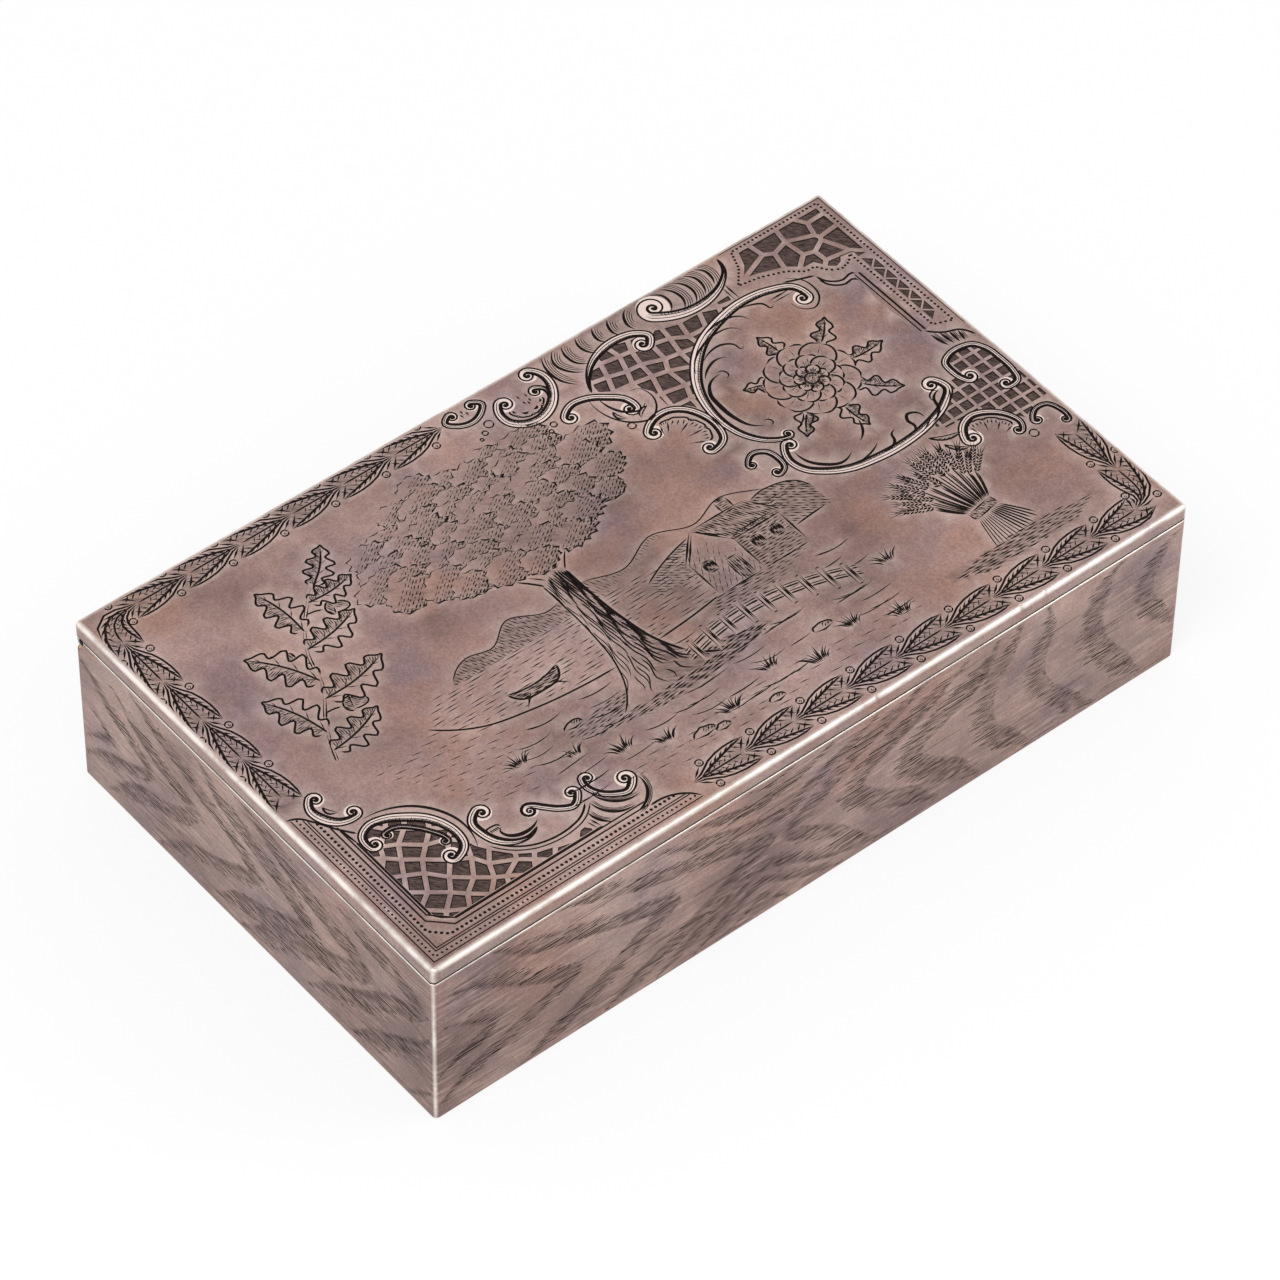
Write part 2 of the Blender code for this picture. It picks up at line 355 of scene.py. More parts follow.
def along(path, distance, offset=0):
    # points at distances along a path and offsets to its side
    reach = np.concatenate(([0], np.cumsum(np.hypot(*np.diff(path, axis=0).T))))
    square = sides(path)
    distance, offset = np.broadcast_arrays(np.asarray(distance, float), np.asarray(offset, float))
    place = np.stack([np.interp(distance, reach, path[:, i]) for i in (0, 1)], -1)
    out = np.stack([np.interp(distance, reach, square[:, i]) for i in (0, 1)], -1)
    return place + out * offset[..., None]


def lengthOf(path):
    return np.hypot(*np.diff(path, axis=0).T).sum()


def roundedPath(points, radius, step=1):
    # straight runs with each bend rounded off
    points = [np.array(point, float) for point in points]
    path = [points[0]]
    for before, corner, after in zip(points, points[1:], points[2:]):
        start = corner + (before - corner) / np.linalg.norm(before - corner) * radius
        end = corner + (after - corner) / np.linalg.norm(after - corner) * radius
        for t in np.linspace(0, 1, 9):
            path.append(start * (1 - t) ** 2 + corner * 2 * t * (1 - t) + end * t ** 2)
    path = np.array((*path, points[-1]))
    return along(path, np.linspace(0, lengthOf(path), int(lengthOf(path) / step) + 1))


# Laurel garland, in two branches that start at the middle of the long sides

garland = {
    "backBranch": ((93.2, 4.3), (4.4, 4.3), (4.4, 67.5)),
    "frontBranch": ((70.5, 113.2), (195.2, 113.2), (195.2, 85.5)),
    "bend": 6.5,
    "pitch": 13.3,
    # along the stem from the leaf's foot, then the offsets of its outer edge and of its rib
    "leaf": ((0, 0.15, 0.12), (2.5, 0.75, 0.30), (4.2, 1.65, 0.70), (6, 2.70, 1.30), (8.3, 3.40, 1.90),
             (10.8, 3.75, 2.55), (13.2, 3.75, 3.05), (15.6, 3.45, 3.45)),
    "innerEdge": ((15.6, 3.45), (14.3, 2.20), (12.8, 0.45)),
    "outline": 0.38,
    "rib": 0.46,
    "feather": 0.38,
    "feathers": (5, 6.6, 8.2, 9.8, 11.4, 12.8),
    "shades": 6,
    "fine": 0.22,
    "innerTone": 0.72,
    "berry": (4.3, 3.40, 0.85),
    "stalk": ((0.9, 0.6), (2.2, 1.5), (3.7, 2.7)),
}


def cutLeaf(sheet, path, start, side, g):
    # one leaf, in the garland's own measure: distance along the stem and offset from it
    reach, outer, rib = (np.array(column) for column in zip(*g["leaf"]))

    def cut(places, width, ends):
        places = np.array(places)
        sheet.line(along(path, start + places[:, 0], side * places[:, 1]), width, ends)

    lobe = ribbon(np.column_stack((reach, rib)), np.column_stack((reach, rib * 0 + 0.15)))
    lobe = along(path, start + lobe[1:-1, 0], side * lobe[1:-1, 1])
    sheet.tones.append((lobe, even(g["innerTone"])))
    cut(np.column_stack((reach, outer)), g["outline"], (1.5, 0.5))
    cut(g["innerEdge"], g["outline"] * 1.2, (0.3, 0.6))
    cut(np.column_stack((reach, rib))[1:], g["rib"], (0.6, 3))
    for root in g["feathers"]:
        here, tip = np.interp((root, root + 1.9), reach, rib)
        out = np.interp(root + 1.9, reach, outer)
        cut(((root, here), (root + 1.9, tip + (out - tip) * 0.72)), g["feather"], (0.4, 1.6))
        cut(((root + 0.5, here), (root + 2.2, tip * 0.42)), g["feather"], (0.4, 1.6))
    for k in range(g["shades"]):
        root = 2.6 + k * 1.45
        here = np.interp(root, reach, rib)
        cut(((root, 0.22), (root + 1, 0.22 + here * 0.62)), g["fine"], (0.2, 0.5))


def layGarland(sheet, corners, g):
    path = roundedPath(corners, g["bend"])
    count = int((lengthOf(path) - 2.5) / g["pitch"])
    for k in range(count):
        start = k * g["pitch"] + 0.5
        stem = np.linspace(start, start + g["pitch"], 8)
        sheet.line(along(path, stem, 0), 0.34, (0.5, 1.5))
        for side in (1, -1):
            cutLeaf(sheet, path, start, side, g)
            reach, offset, radius = g["berry"]
            berry = along(path, start + reach, side * offset)
            stalk = np.array(g["stalk"])
            sheet.line(along(path, start + stalk[:, 0], side * stalk[:, 1]), 0.42, (0.8, 0.3))
            sheet.circle(berry, radius, 0.28)
            for shade in (-0.05, 0.25):
                spot = berry + (shade * 0.6, shade)
                sheet.line((spot - (0.38, -0.28), spot + (0.28, -0.2)), 0.2, (0.2, 0.3))


# Ruled border round the front left corner

cornerBorder = {
    "topEnd": ((0.6, 70), (3.3, 70.9), (5.6, 73.9), (7.8, 77.8), (10.5, 81.5)),
    "frontEnd": ((60.6, 112.4), (65.6, 112.9), (68.3, 114.4), (70.6, 117)),
    "fineLines": (2, 4, 4.6),
    "smallDots": (3, 1.2, 0.30),
    "bigDots": (5.7, 1.15, 0.40),
    "chamferLines": (7.1, 8.2),
    "chamfer": 4.2,
}


def borderRun(offset, chamfer, b):
    # down the left edge, across the corner and along the front edge, at one offset
    front = boxDepth - offset
    top = np.interp(offset, [p[0] for p in b["topEnd"]], [p[1] for p in b["topEnd"]])
    ends = b["frontEnd"]
    right = np.interp(front, [p[1] for p in ends], [p[0] for p in ends])
    if chamfer:
        return np.array(((offset, top), (offset, front - chamfer), (offset + chamfer, front), (right, front)))
    return np.array(((offset, top), (offset, front), (right, front)))


def spaced(path, pitch):
    path = np.asarray(path, float)
    count = max(int(round(lengthOf(path) / pitch)), 1)
    return along(path, (np.arange(count) + 0.5) * lengthOf(path) / count)


def ruleBorder(sheet, b):
    for offset in b["fineLines"]:
        sheet.line(borderRun(offset, 0, b), 0.22)
    for offset in b["chamferLines"]:
        sheet.line(borderRun(offset, b["chamfer"], b), 0.3)
    for (offset, pitch, radius), chamfer in ((b["smallDots"], 0), (b["bigDots"], b["chamfer"] - 0.9)):
        run = borderRun(offset, chamfer, b)
        for start, end in zip(run, run[1:]):
            for place in spaced((start, end), pitch):
                sheet.dot(place, radius, 6)
    sheet.line(curve(b["topEnd"]), 0.42, (2, 0.5))
    sheet.line(curve(b["frontEnd"]), 0.42, (0.5, 2))


# Scroll work. Each scroll has a curl at one or both ends, (centre, size, hand), and the places
# that its middle line passes through; hand 1 winds clockwise as seen, going into the curl

scrolls = {
    "cornerLeaf": (((9.2, 69.2), 1.9, 1), ((6.7, 70.9), (7.3, 74.2), (9.7, 77.1)), ((13.2, 76.5), 1.9, -1),
                   2.2),
    "cornerArch": (((11.4, 85.9), 1.9, -1), ((10.5, 82.9), (13.3, 81.2), (17.2, 81.9), (20.8, 84.2),
                                             (23.7, 86.9), (25.6, 90.6), (26.1, 93.9), (25.2, 97.2)),
                   ((21.6, 97.7), 2.1, 1), 2.1),
    "archLining": (((14.9, 85.5), 1.2, -1), ((17.4, 84.9), (20.1, 87.1), (22.2, 90)), ((22.9, 93.9), 1.2, 1),
                   0.9),
    "cradle": (((33.1, 92.7), 2.1, 1), ((29.9, 93.6), (29.8, 97), (30.9, 100.3), (33.3, 102.7),
                                        (36.3, 103.6)), ((39.6, 102.4), 0, 0), 1.8),
    "wave": (((40.9, 98.3), 1.8, -1), ((43.6, 99.3), (46, 101.7), (48.6, 102.9)), ((50.4, 99.9), 1.8, -1),
             1.4),
    "shellRim": (((55.1, 98.8), 1.7, 1), ((53.6, 100.8), (54.7, 103.5), (56.9, 105.5), (59.6, 106.6)),
                 ((61.2, 103.6), 2.2, -1), 1.3),
    "horseshoe": (((95.9, 3.3), 1.5, 1), ((93.6, 4), (95.2, 6.1), (98.5, 7.2), (101.6, 6.1), (103.4, 4)),
                  ((101.2, 3.2), 1.5, -1), 1.3),
    "scallop": (((106.9, 7.4), 2.2, 1), ((104.2, 9.3), (104.4, 12), (106.5, 14.3), (110.1, 15.3),
                                         (113.9, 14.1), (116.9, 11.4), (118.5, 8.3), (118.6, 5.2)),
                ((116, 3.7), 2.1, -1), 2.2),
    "scallopCurl": (((114.4, 8.4), 1.6, -1), ((116.5, 9), (116.3, 10.6)), ((115.2, 12), 0, 0), 0.8),
    "swan": (((115.4, 19), 2, -1), ((117.9, 16.1), (121.7, 16.8), (125.2, 19.2), (127.9, 22)),
             ((126.9, 24.9), 2.1, 1), 1.6),
    "arch": (((123.4, 16.2), 0, 0), ((125.5, 12.3), (128.9, 9.3), (133.3, 7.5), (137.9, 7.2), (141.6, 8.3),
                                     (143.6, 10.6)), ((140.9, 11.8), 2.2, 1), 1.9),
    "plumeCurl": (((149.3, 4.9), 3.7, 1), ((154.4, 10.3), (160.5, 10.3), (165.8, 8.2), (168.8, 5.2)),
                  ((169.5, 1.9), 0, 0), 1.9),
    "roundelTop": (((148, 51.2), 1.4, -1), ((143.5, 49.9), (140.8, 46.1), (139.5, 41.1), (139.7, 35.6),
                                            (141.8, 29.1), (145.7, 23.7), (151.2, 19.2), (157.9, 16.5),
                                            (165.5, 15.2), (172.2, 16.2), (177.2, 19)),
                   ((176.4, 22.6), 2.2, 1), 2.5),
    "roundelFoot": (((146.3, 54), 1.9, 1), ((143.3, 57.6), (144.2, 61.2), (147.3, 64.4), (151.7, 66.9),
                                            (157.8, 68.2), (165.6, 68.6), (173.3, 67.5), (179.4, 65.2),
                                            (183.2, 61.6)), ((180.9, 59.2), 2.2, -1), 2.1),
    "sideFrond": (((126.3, 33.4), 2.1, -1), ((129.2, 30.1), (132.8, 30.2), (135.7, 32.2), (137.5, 35.6),
                                             (138, 40), (136.6, 43.9)), ((132.8, 44), 1.9, 1), 1.6),
    "sideHook": (((136.4, 53.4), 1.3, -1), ((138.5, 50.9), (141.1, 52.2), (142, 55.6), (141.4, 58.1)),
                 ((139.3, 58.2), 1.4, 1), 1.2),
    "latticeFrame": (((189, 62.4), 1.9, -1), ((186.9, 58.9), (187.4, 56.2), (189.8, 54.8), (192.8, 54.6),
                                              (195.7, 55.6), (197.2, 58.2), (197.6, 62.2), (197.4, 66.5),
                                              (196.2, 69.6)), ((193.7, 68.8), 1.7, 1), 1.3),
    "shellScroll": (((177.5, 76.5), 2.3, -1), ((178.4, 72.4), (181.4, 71.3), (185.2, 72.8), (188, 76.2),
                                               (188.6, 79.2)), ((186.7, 80.6), 1.4, 1), 1.5),
    "cornerTwist": (((191.7, 80.9), 1.4, -1), ((193.6, 78.2), (196.3, 78.6), (197.6, 81.6)),
                    ((196.6, 84.4), 1.2, 1), 1),
}

scrollWork = {
    "outerLine": 0.34,
    "innerLine": 0.52,
    "fineLine": 0.17,
    "hollowTone": 0.7,
    "curlTurns": 1.2,
    "curlShrink": 0.80,
    "curlBand": 0.74,  # the band's width where it enters a curl, as a share of the curl's size
    "hatchPitch": 0.78,
    # thick dark lines under the scrolls, with their widths
    "shadows": (
        (((13.4, 79.2), (18.3, 79.9), (23.2, 82.5), (26.8, 86.9), (28.4, 91.5), (28.3, 95.6), (26.9, 99.4)),
         0.55),
        (((8.2, 77.2), (8.6, 80.8), (9, 84.2)), 0.4),
        (((148.4, 28.9), (145, 29.5), (142.7, 32.2), (142.1, 36.2), (142.3, 40.6), (143.7, 44.5),
          (146, 46.3)), 0.85),
        (((147.6, 28.2), (149.2, 28.6), (149.4, 30.2), (148.2, 30.7)), 0.34),
        (((146.4, 45.2), (147.6, 45.4), (147.9, 46.6), (146.9, 47.2)), 0.34),
        (((145.8, 55.9), (146, 59.4), (148.2, 62.6), (151.6, 64.6), (155.3, 63.4)), 0.7),
        (((33.9, 98), (33, 98.9), (33.3, 100.3), (34.4, 101.4), (36.4, 102.1), (39.3, 101.8), (40.8, 101)),
         0.75),
        # the leaf that cradles the end of the swan scroll
        (((121.6, 17.2), (121.2, 20.6), (122.3, 25), (125, 28.4), (128.6, 29.8), (131.6, 27.8), (132.9, 24.2),
          (131.9, 21.4), (129.9, 20.8)), 0.42),
        (((123.4, 18.2), (123.7, 21.8), (125.5, 25), (128.4, 26.4), (130.6, 25.2)), 0.55),
        (((151, 1.5), (153.3, 3.2), (153.4, 5.8), (151.8, 8.1)), 0.5),
        # long edges of the acanthus inside the roundel
        (((143.9, 26), (146.4, 22.6), (150.4, 20.2), (155.2, 19.1), (158.6, 19.8), (160.2, 21.9)), 0.46),
        (((147.6, 24), (150.6, 22.5), (153.8, 22.4), (156, 24), (156.4, 26), (157.6, 25.4)), 0.46),
        (((144.6, 28.2), (147.2, 26), (150, 25.1), (152.4, 25.8)), 0.5),
        (((151.6, 18.6), (155.4, 17.2), (159.4, 17), (162.2, 18.2), (163.4, 20.4)), 0.5),
        (((163.4, 16.6), (166.4, 17.2), (168.6, 18.6), (169.2, 20.6), (170.4, 20)), 0.44),
        (((173.4, 22), (173.8, 24.3), (176.6, 26.3), (179.5, 24.3), (180.3, 21.8), (179.9, 18.6),
          (177, 15.7)), 0.36),
        (((154.6, 48.4), (153, 50.2), (151.2, 51)), 0.36),
        (((156.2, 49.6), (154.8, 51.4), (153, 52.2)), 0.34),
        # hooked edges of the leaf along the roundel's foot
        (((181.8, 61.1), (178.8, 62.5), (177.7, 65.4), (173.8, 68)), 0.6),
        (((178.2, 63.6), (178.6, 61.4), (180.2, 60.8), (180.8, 62)), 0.34),
        (((173.6, 65.9), (173.2, 63.4), (171.2, 62.6), (170.2, 64), (170.4, 66.2), (167.2, 67.8)), 0.6),
        (((166.6, 64.2), (165, 64.9), (164.4, 66.6), (160.4, 67.8)), 0.55),
        (((158.6, 62.2), (160.4, 61), (162, 58.4), (162.4, 57)), 0.5),
        (((178.6, 66.6), (181.6, 64.6), (183.4, 62.2)), 0.3),
        (((170, 68.6), (173, 67.4), (175.4, 65.6)), 0.3),
        (((154.6, 66.6), (158.4, 66.2), (161.2, 64.8)), 0.4),
    ),
    "rings": (((100.8, 9.7), 1.05), ((98.6, 11.3), 0.65), ((96.9, 12.4), 0.4), ((111.4, 18.3), 0.75),
              ((109.8, 19.6), 0.5), ((108.3, 20.8), 0.36), ((188.6, 83.4), 1.05), ((124, 28.9), 0.9)),
}


def touching(centre, radius, start, hand):
    # the angle at which a straight line from start meets a circle and begins to wind round it
    away = np.subtract(start, centre)
    return math.atan2(away[1], away[0]) + hand * math.acos(min(radius / np.hypot(*away), 1))


def curl(centre, size, hand, start, w):
    # a spiral that a line from start runs into; size is the curl's outer radius
    radius = size / (1 + w["curlBand"] / 2)
    t = np.linspace(0, 1, int(9 + 5 * size))
    turn = touching(centre, radius, start, hand) + hand * t * w["curlTurns"] * 2 * math.pi
    shrink = radius * (1 - w["curlShrink"] * t ** 1.15)
    return np.asarray(centre) + shrink[:, None] * np.stack((np.cos(turn), np.sin(turn)), 1)


def scrollShape(scroll, w):
    # the middle line of a scroll and its width at each point, and where its curls end and begin
    start, through, end, wide = scroll
    ends = []
    for (centre, size, hand), nearest in ((start, through[0]), (end, through[-1])):
        ends.append(curl(centre, size, hand, nearest, w) if size else np.array((centre,)))
    leave = ends[0][0] - ends[0][1] if start[1] else None
    arrive = ends[1][1] - ends[1][0] if end[1] else None
    body = curve([ends[0][0], *through, ends[1][0]], 0.75, leave, arrive)
    path = np.concatenate((ends[0][:0:-1], body, ends[1][1:]))
    first, last = len(ends[0]) - 1, len(path) - len(ends[1])
    knots = [0, first, (first + last) / 2, last, len(path) - 1]
    widths = [start[1] * 0.16, start[1] * w["curlBand"] or 0.1, wide, end[1] * w["curlBand"] or 0.1,
              end[1] * 0.16]
    if first == 0:
        knots, widths = knots[1:], widths[1:]
    if last == len(path) - 1:
        knots, widths = knots[:-1], widths[:-1]
    width = np.interp(np.arange(len(path)), knots, widths)
    for _ in range(4):
        width[1:-1] = (width[:-2] + width[1:-1] * 2 + width[2:]) / 4
    return path, width, first, last


def bending(path):
    # 1 where the path turns towards its left side, -1 where it turns to the right
    ahead = np.gradient(path, axis=0)
    turn = np.gradient(ahead, axis=0)
    return np.sign(ahead[:, 0] * turn[:, 1] - ahead[:, 1] * turn[:, 0])


def cutScroll(sheet, scroll, w):
    start, _, end, _ = scroll
    path, width, first, last = scrollShape(scroll, w)
    square = sides(path)
    middle = slice(max(first - 3, 0), min(last + 4, len(path)))
    hollow = bending(path)[middle].mean()
    hollow = 1 if hollow >= 0 else -1
    edges = [path + square * (side * width / 2)[:, None] for side in (hollow, -hollow)]
    for (centre, size, _) in (start, end):
        if size:
            sheet.loop(polar(centre, size * 1.02, np.linspace(0, 2 * math.pi, 19)[:-1]), keptMetal)
            sheet.dot(centre, size * 0.13, 6)
    sheet.loop(ribbon(edges[0][middle], edges[1][middle]), keptMetal)
    ridge = path + square * (hollow * width * 0.1)[:, None]
    sheet.tones.append((ribbon(edges[0][middle], ridge[middle]), even(w["hollowTone"])))
    sheet.line(edges[0], w["innerLine"], (1, 1))
    sheet.line(edges[1], w["outerLine"], (1, 1))
    for share in (0.24, -0.12):
        inner = path + square * (hollow * width * share)[:, None]
        sheet.line(inner[max(first - 3, 0):last + 4], w["fineLine"], (1.5, 1.5))
    # short strokes that round the band off towards its hollow side
    body = path[first:last + 1]
    count = int(lengthOf(body) / w["hatchPitch"])
    for k in range(count):
        reach = (k + 0.5) * w["hatchPitch"]
        here = np.interp(reach / lengthOf(body), np.linspace(0, 1, len(body)), width[first:last + 1])
        swell = 0.16 + 0.34 * abs(math.sin(k * 0.9))
        ends = along(body, (reach, reach + 0.35), (hollow * here * 0.48, hollow * here * (0.48 - swell)))
        sheet.line(ends, w["fineLine"], (0.2, 0.5))


# Leaves, flutes and shells that go with the scrolls

def crescent(sheet, points, width=0.6, fine=2, spread=0.32, side=1):
    # a dark swelling stroke with finer ones beside it
    path = curve(points, 0.6)
    swell = width * np.sin(np.linspace(0, math.pi, len(path))) ** 0.8
    sheet.line(path, np.maximum(swell, 0.12), (0.5, 0.5))
    square = sides(path)
    for k in range(fine):
        t = slice(int(len(path) * 0.05 * k), int(len(path) * (0.98 - 0.07 * k)) + 1)
        if len(path[t]) > 2:
            offset = side * (width * 0.35 + spread * (k + 1))
            sheet.line((path + square * offset)[t], 0.16, (1, 1))


def frond(sheet, root, tip, bow, lobes, width=0.34):
    # an acanthus lobe: a bowed back and tapering strokes that leave it
    root, tip = np.array(root), np.array(tip)
    ahead = tip - root
    square = leftOf(ahead)
    back = curve((root, (root + tip) / 2 + square * bow, tip), 0.5)
    sheet.line(back, width * 1.15, (0.6, 1.6))
    front = curve((root, (root + tip) / 2 + square * bow * 0.25, tip), 0.5)
    sheet.line(front, width * 0.7, (0.6, 1.6))
    sheet.tones.append((ribbon(back, front), even(0.3)))
    for k in range(lobes):
        share = 0.12 + 0.7 * k / max(lobes, 1)
        place = back[int(share * (len(back) - 1))]
        goal = front[min(int((share + 0.22) * (len(front) - 1)), len(front) - 1)]
        sheet.line((place, place * 0.25 + goal * 0.75), 0.16, (0.2, 0.8))


def fan(sheet, knots, foot, ribs, reach):
    # the lobes of a shell: an arch from knot to knot with strokes under it, and long lines between
    knots, foot = np.array(knots), np.array(foot)
    for here, there in zip(knots, knots[1:]):
        across, out = there - here, (here + there) / 2 - foot
        out *= np.hypot(*across) / np.hypot(*out)
        rim = np.array(((0, 0), (0.1, 0.2), (0.5, 0.27), (0.9, 0.2), (1, 0)))
        sheet.line(curve(here + rim[:, :1] * across + rim[:, 1:] * out, 0.5), 0.36, (0.2, 0.2))
        for share in np.linspace(0.24, 0.76, ribs):
            top = here + across * share + out * 0.12
            sheet.line((top, top - out * 0.38), 0.3, (0.2, 0.7))
        if not ribs:
            pit = np.array(((0.26, -0.2), (0.5, -0.06), (0.74, -0.2)))
            sheet.line(curve(here + pit[:, :1] * across + pit[:, 1:] * out, 0.4), 0.52, (0.6, 0.6))
    for knot in knots[1:-1]:
        sheet.dot(knot + (knot - foot) * 0.6 / np.hypot(*(knot - foot)), 0.24, 6)
    if reach:
        for knot in knots:
            sheet.line((knot, knot + (foot - knot) * reach), 0.34, (0.1, 2))


foliage = {
    # root, tip, bow and number of inner strokes of each acanthus lobe
    "lobes": (
        ((9.2, 71.6), (11, 74.6), 0.35, 2), ((170.2, 70.6), (177, 73.4), 0.2, 5),
        ((171.6, 74), (175.6, 78), 0.22, 4),
        ((130.2, 26.4), (127, 28.4), 0.3, 3), ((123.4, 23.2), (124.6, 26.6), 0.3, 3),
    ),
    # corners between a shell's lobes, its foot, strokes in each lobe and reach of the lines between them
    "fans": (
        (((128.6, 32.4), (130.6, 32.6), (134.2, 35.4), (135.4, 39), (133.9, 42.4)), (126.5, 38.5), 3, 0.5),
        (((179.1, 73.5), (182.6, 74.1), (185.3, 76.2), (186.5, 78.8)), (180, 81), 3, 0.42),
        (((106.5, 9.5), (107.3, 11.6), (110.2, 12.9), (113, 12), (114.4, 10.4)), (110.9, 8), 0, 0),
        (((30.7, 97.6), (34, 97.8)), (33.4, 104), 5, 0),
    ),
    # the plume's gadroons, from the back edge down to the arch and the big curl
    "gadroons": (
        ((121.6, 1.3), (120.2, 5), (120.6, 9.4), (123, 12.6)),
        ((124.6, 1.3), (122.5, 5.2), (123.6, 8.2), (126.2, 10.4)),
        ((127, 1.3), (125.9, 4.6), (126.4, 7.2), (128.6, 9)),
        ((130.8, 1.3), (129.9, 4.2), (130.4, 6.2), (131.8, 7.7)),
        ((135.4, 1.3), (134.4, 3.4), (134.4, 5.2), (135.4, 6.4)),
        ((139.6, 1.3), (138.3, 3.6), (138.2, 5.4), (138.9, 6.6)),
        ((144.6, 1.3), (142.4, 3.8), (142, 5.6), (142.6, 7.4)),
        ((153.8, 1.3), (156, 4), (156.2, 6.8), (154.4, 9.4)),
        ((156.8, 1.3), (159.2, 3.8), (159.4, 6.6), (157.6, 9.5)),
        ((160.2, 1.3), (162.2, 3.6), (162.2, 6), (160.8, 8.8)),
        ((163.4, 1.3), (165.2, 3.4), (165.2, 5.4), (164.2, 7.6)),
    ),
    "flutes": (
        ((51.6, 104), (52.4, 107.2), (55, 109.7), (58.6, 110.3)),
        ((49.6, 105.8), (50.2, 108.6), (52.2, 110.9)),
        ((53.2, 102.2), (54.2, 105.2), (57, 107.8), (61.2, 108.4)),
        ((63.6, 104.6), (63.2, 108), (60.8, 110.8), (57.4, 112)),
        ((190.6, 47.9), (190.9, 50.4), (191.6, 52.8)), ((192.4, 48.6), (192.6, 50.9), (192.9, 53)),
        ((194.2, 49.6), (194.2, 51.6), (194.1, 53.4)), ((195.9, 50.6), (195.6, 52.4), (195.3, 53.8)),
    ),
    "drops": ((98.4, 3.6), (97.8, 4.6), (99.2, 4.6), (110.4, 7.7), (112.1, 8.2), (110.5, 9.7), (112, 9.7),
              (111.3, 10.3)),
}


def cutFoliage(sheet, f):
    for root, tip, bow, lobes in f["lobes"]:
        frond(sheet, root, tip, bow, lobes)
    for points in f["gadroons"]:
        crescent(sheet, points, 0.55, 3, 0.5, -1)
    for points in f["flutes"]:
        crescent(sheet, points, 0.6, 2, 0.32, -1)
    for knots, foot, ribs, reach in f["fans"]:
        fan(sheet, knots, foot, ribs, reach)
    for right, forward in f["drops"]:
        sheet.line(((right, forward - 0.8), (right, forward + 0.5)), 0.62, (0.9, 0.4))


# Pierced-looking grounds: dark recesses left between bars of bright metal

trellises = {
    # corners of the ground, pitch, lean in degrees, bar width, unevenness
    "cornerTrellis": (((8.9, 83), (8.9, 107.5), (11.9, 110.5), (48.5, 110.5), (47.9, 107.9), (44.4, 108.6),
                       (40, 108.7), (35.6, 107.5), (31.8, 105), (29, 101.6), (27, 98.4), (26.1, 93.9),
                       (25.6, 90.6), (23.7, 86.9), (20.8, 84.2), (17.2, 81.9), (13.3, 81.3), (10.5, 82.9)),
                      4.3, 38, 1.05, 0.9),
    "archTrellis": (((123.8, 16.8), (125.6, 12.4), (128.9, 9.4), (133.3, 7.6), (137.8, 7.3), (141.6, 8.3),
                     (143.8, 10.8), (146, 9.4), (150, 10.6), (156, 11.9), (164.8, 11.6), (164.8, 14.3),
                     (157.9, 15.6), (151.2, 18.4), (145.7, 23), (141.8, 28.4), (139.9, 33.4), (138.6, 35.2),
                     (136.6, 32), (133.2, 29.6), (133.4, 24), (131.2, 20.6), (127.6, 19.4)), 4.3, 12, 1.15,
                    0.85),
    "sideLattice": (((183.6, 62), (186.9, 58.9), (187.4, 56.2), (189.8, 54.8), (195.7, 55.6), (197.4, 60),
                     (198.6, 64), (198.6, 77.6), (194, 77.6), (190, 79.2), (188, 76.2), (185.2, 72.8),
                     (181.4, 71.3), (174, 70.9), (173.3, 68.6), (179.4, 66)), 3.2, 1.5, 0.8, 0),
}

cornerPanel = {
    "outline": ((173.2, 2.3), (197.3, 2.3), (197.3, 47.6), (192.9, 45.9), (192.9, 18.6), (191.2, 20.4),
                (188.5, 21), (186.2, 19.6), (184.5, 16.9), (182.2, 16.9), (178.8, 14.2), (173.4, 12.1),
                (168, 11.1), (171.5, 7)),
    "beadPitch": 1.1,
    "beadRadius": 0.34,
    "ground": ((174.4, 3.5), (196.2, 3.5), (196.2, 20.4), (193.9, 20.4), (193.9, 16.6), (191.4, 17.2),
               (189.9, 19.2), (188.3, 19.7), (187.1, 18.7), (185.2, 15.7), (182.8, 15.6), (179.4, 12.9),
               (173.8, 10.9), (170.4, 10.1), (172.9, 7.2)),
    "seeds": 12,
    "seedField": (170, 197, 3, 20),
    "seedGap": 3.8,
    "bar": 1.15,
    "strip": (193.9, 196.2, 21.2, 45.4),
    "teeth": 6,
    "outerLine": 1.35,
}

frameLines = {
    # lines that are cut twice, with the gap between them
    "double": (
        (((170.2, 19.2), (176.4, 19.2)), 1), (((190.2, 24), (190.2, 46.2)), 1.1),
        (((29.3, 100.2), (31.9, 103.6), (35.6, 106.1), (40, 107.3), (44.4, 107.3), (48.2, 106.3),
          (51.2, 103.9)), 1),
        (((48.4, 107.6), (49.2, 110.6)), 0.9), (((165.3, 8.6), (165.3, 14.6)), 1),
    ),
    "single": (
        ((182.8, 19.2), (183.6, 21.7), (186.4, 23.7), (189.6, 23.4), (190.2, 24)),
        ((182.8, 20.2), (183.2, 22.6), (186.2, 25), (188.6, 24.9), (189.4, 26)),
        ((190.2, 46.2), (193, 49), (196.6, 50.8), (198.2, 54)),
        ((176, 16.3), (180.6, 18.2), (182.8, 19)),
        ((8.9, 83.2), (8.9, 107.6)), ((8.9, 107.6), (11.9, 110.6)), ((11.9, 110.6), (50, 110.6)),
    ),
}


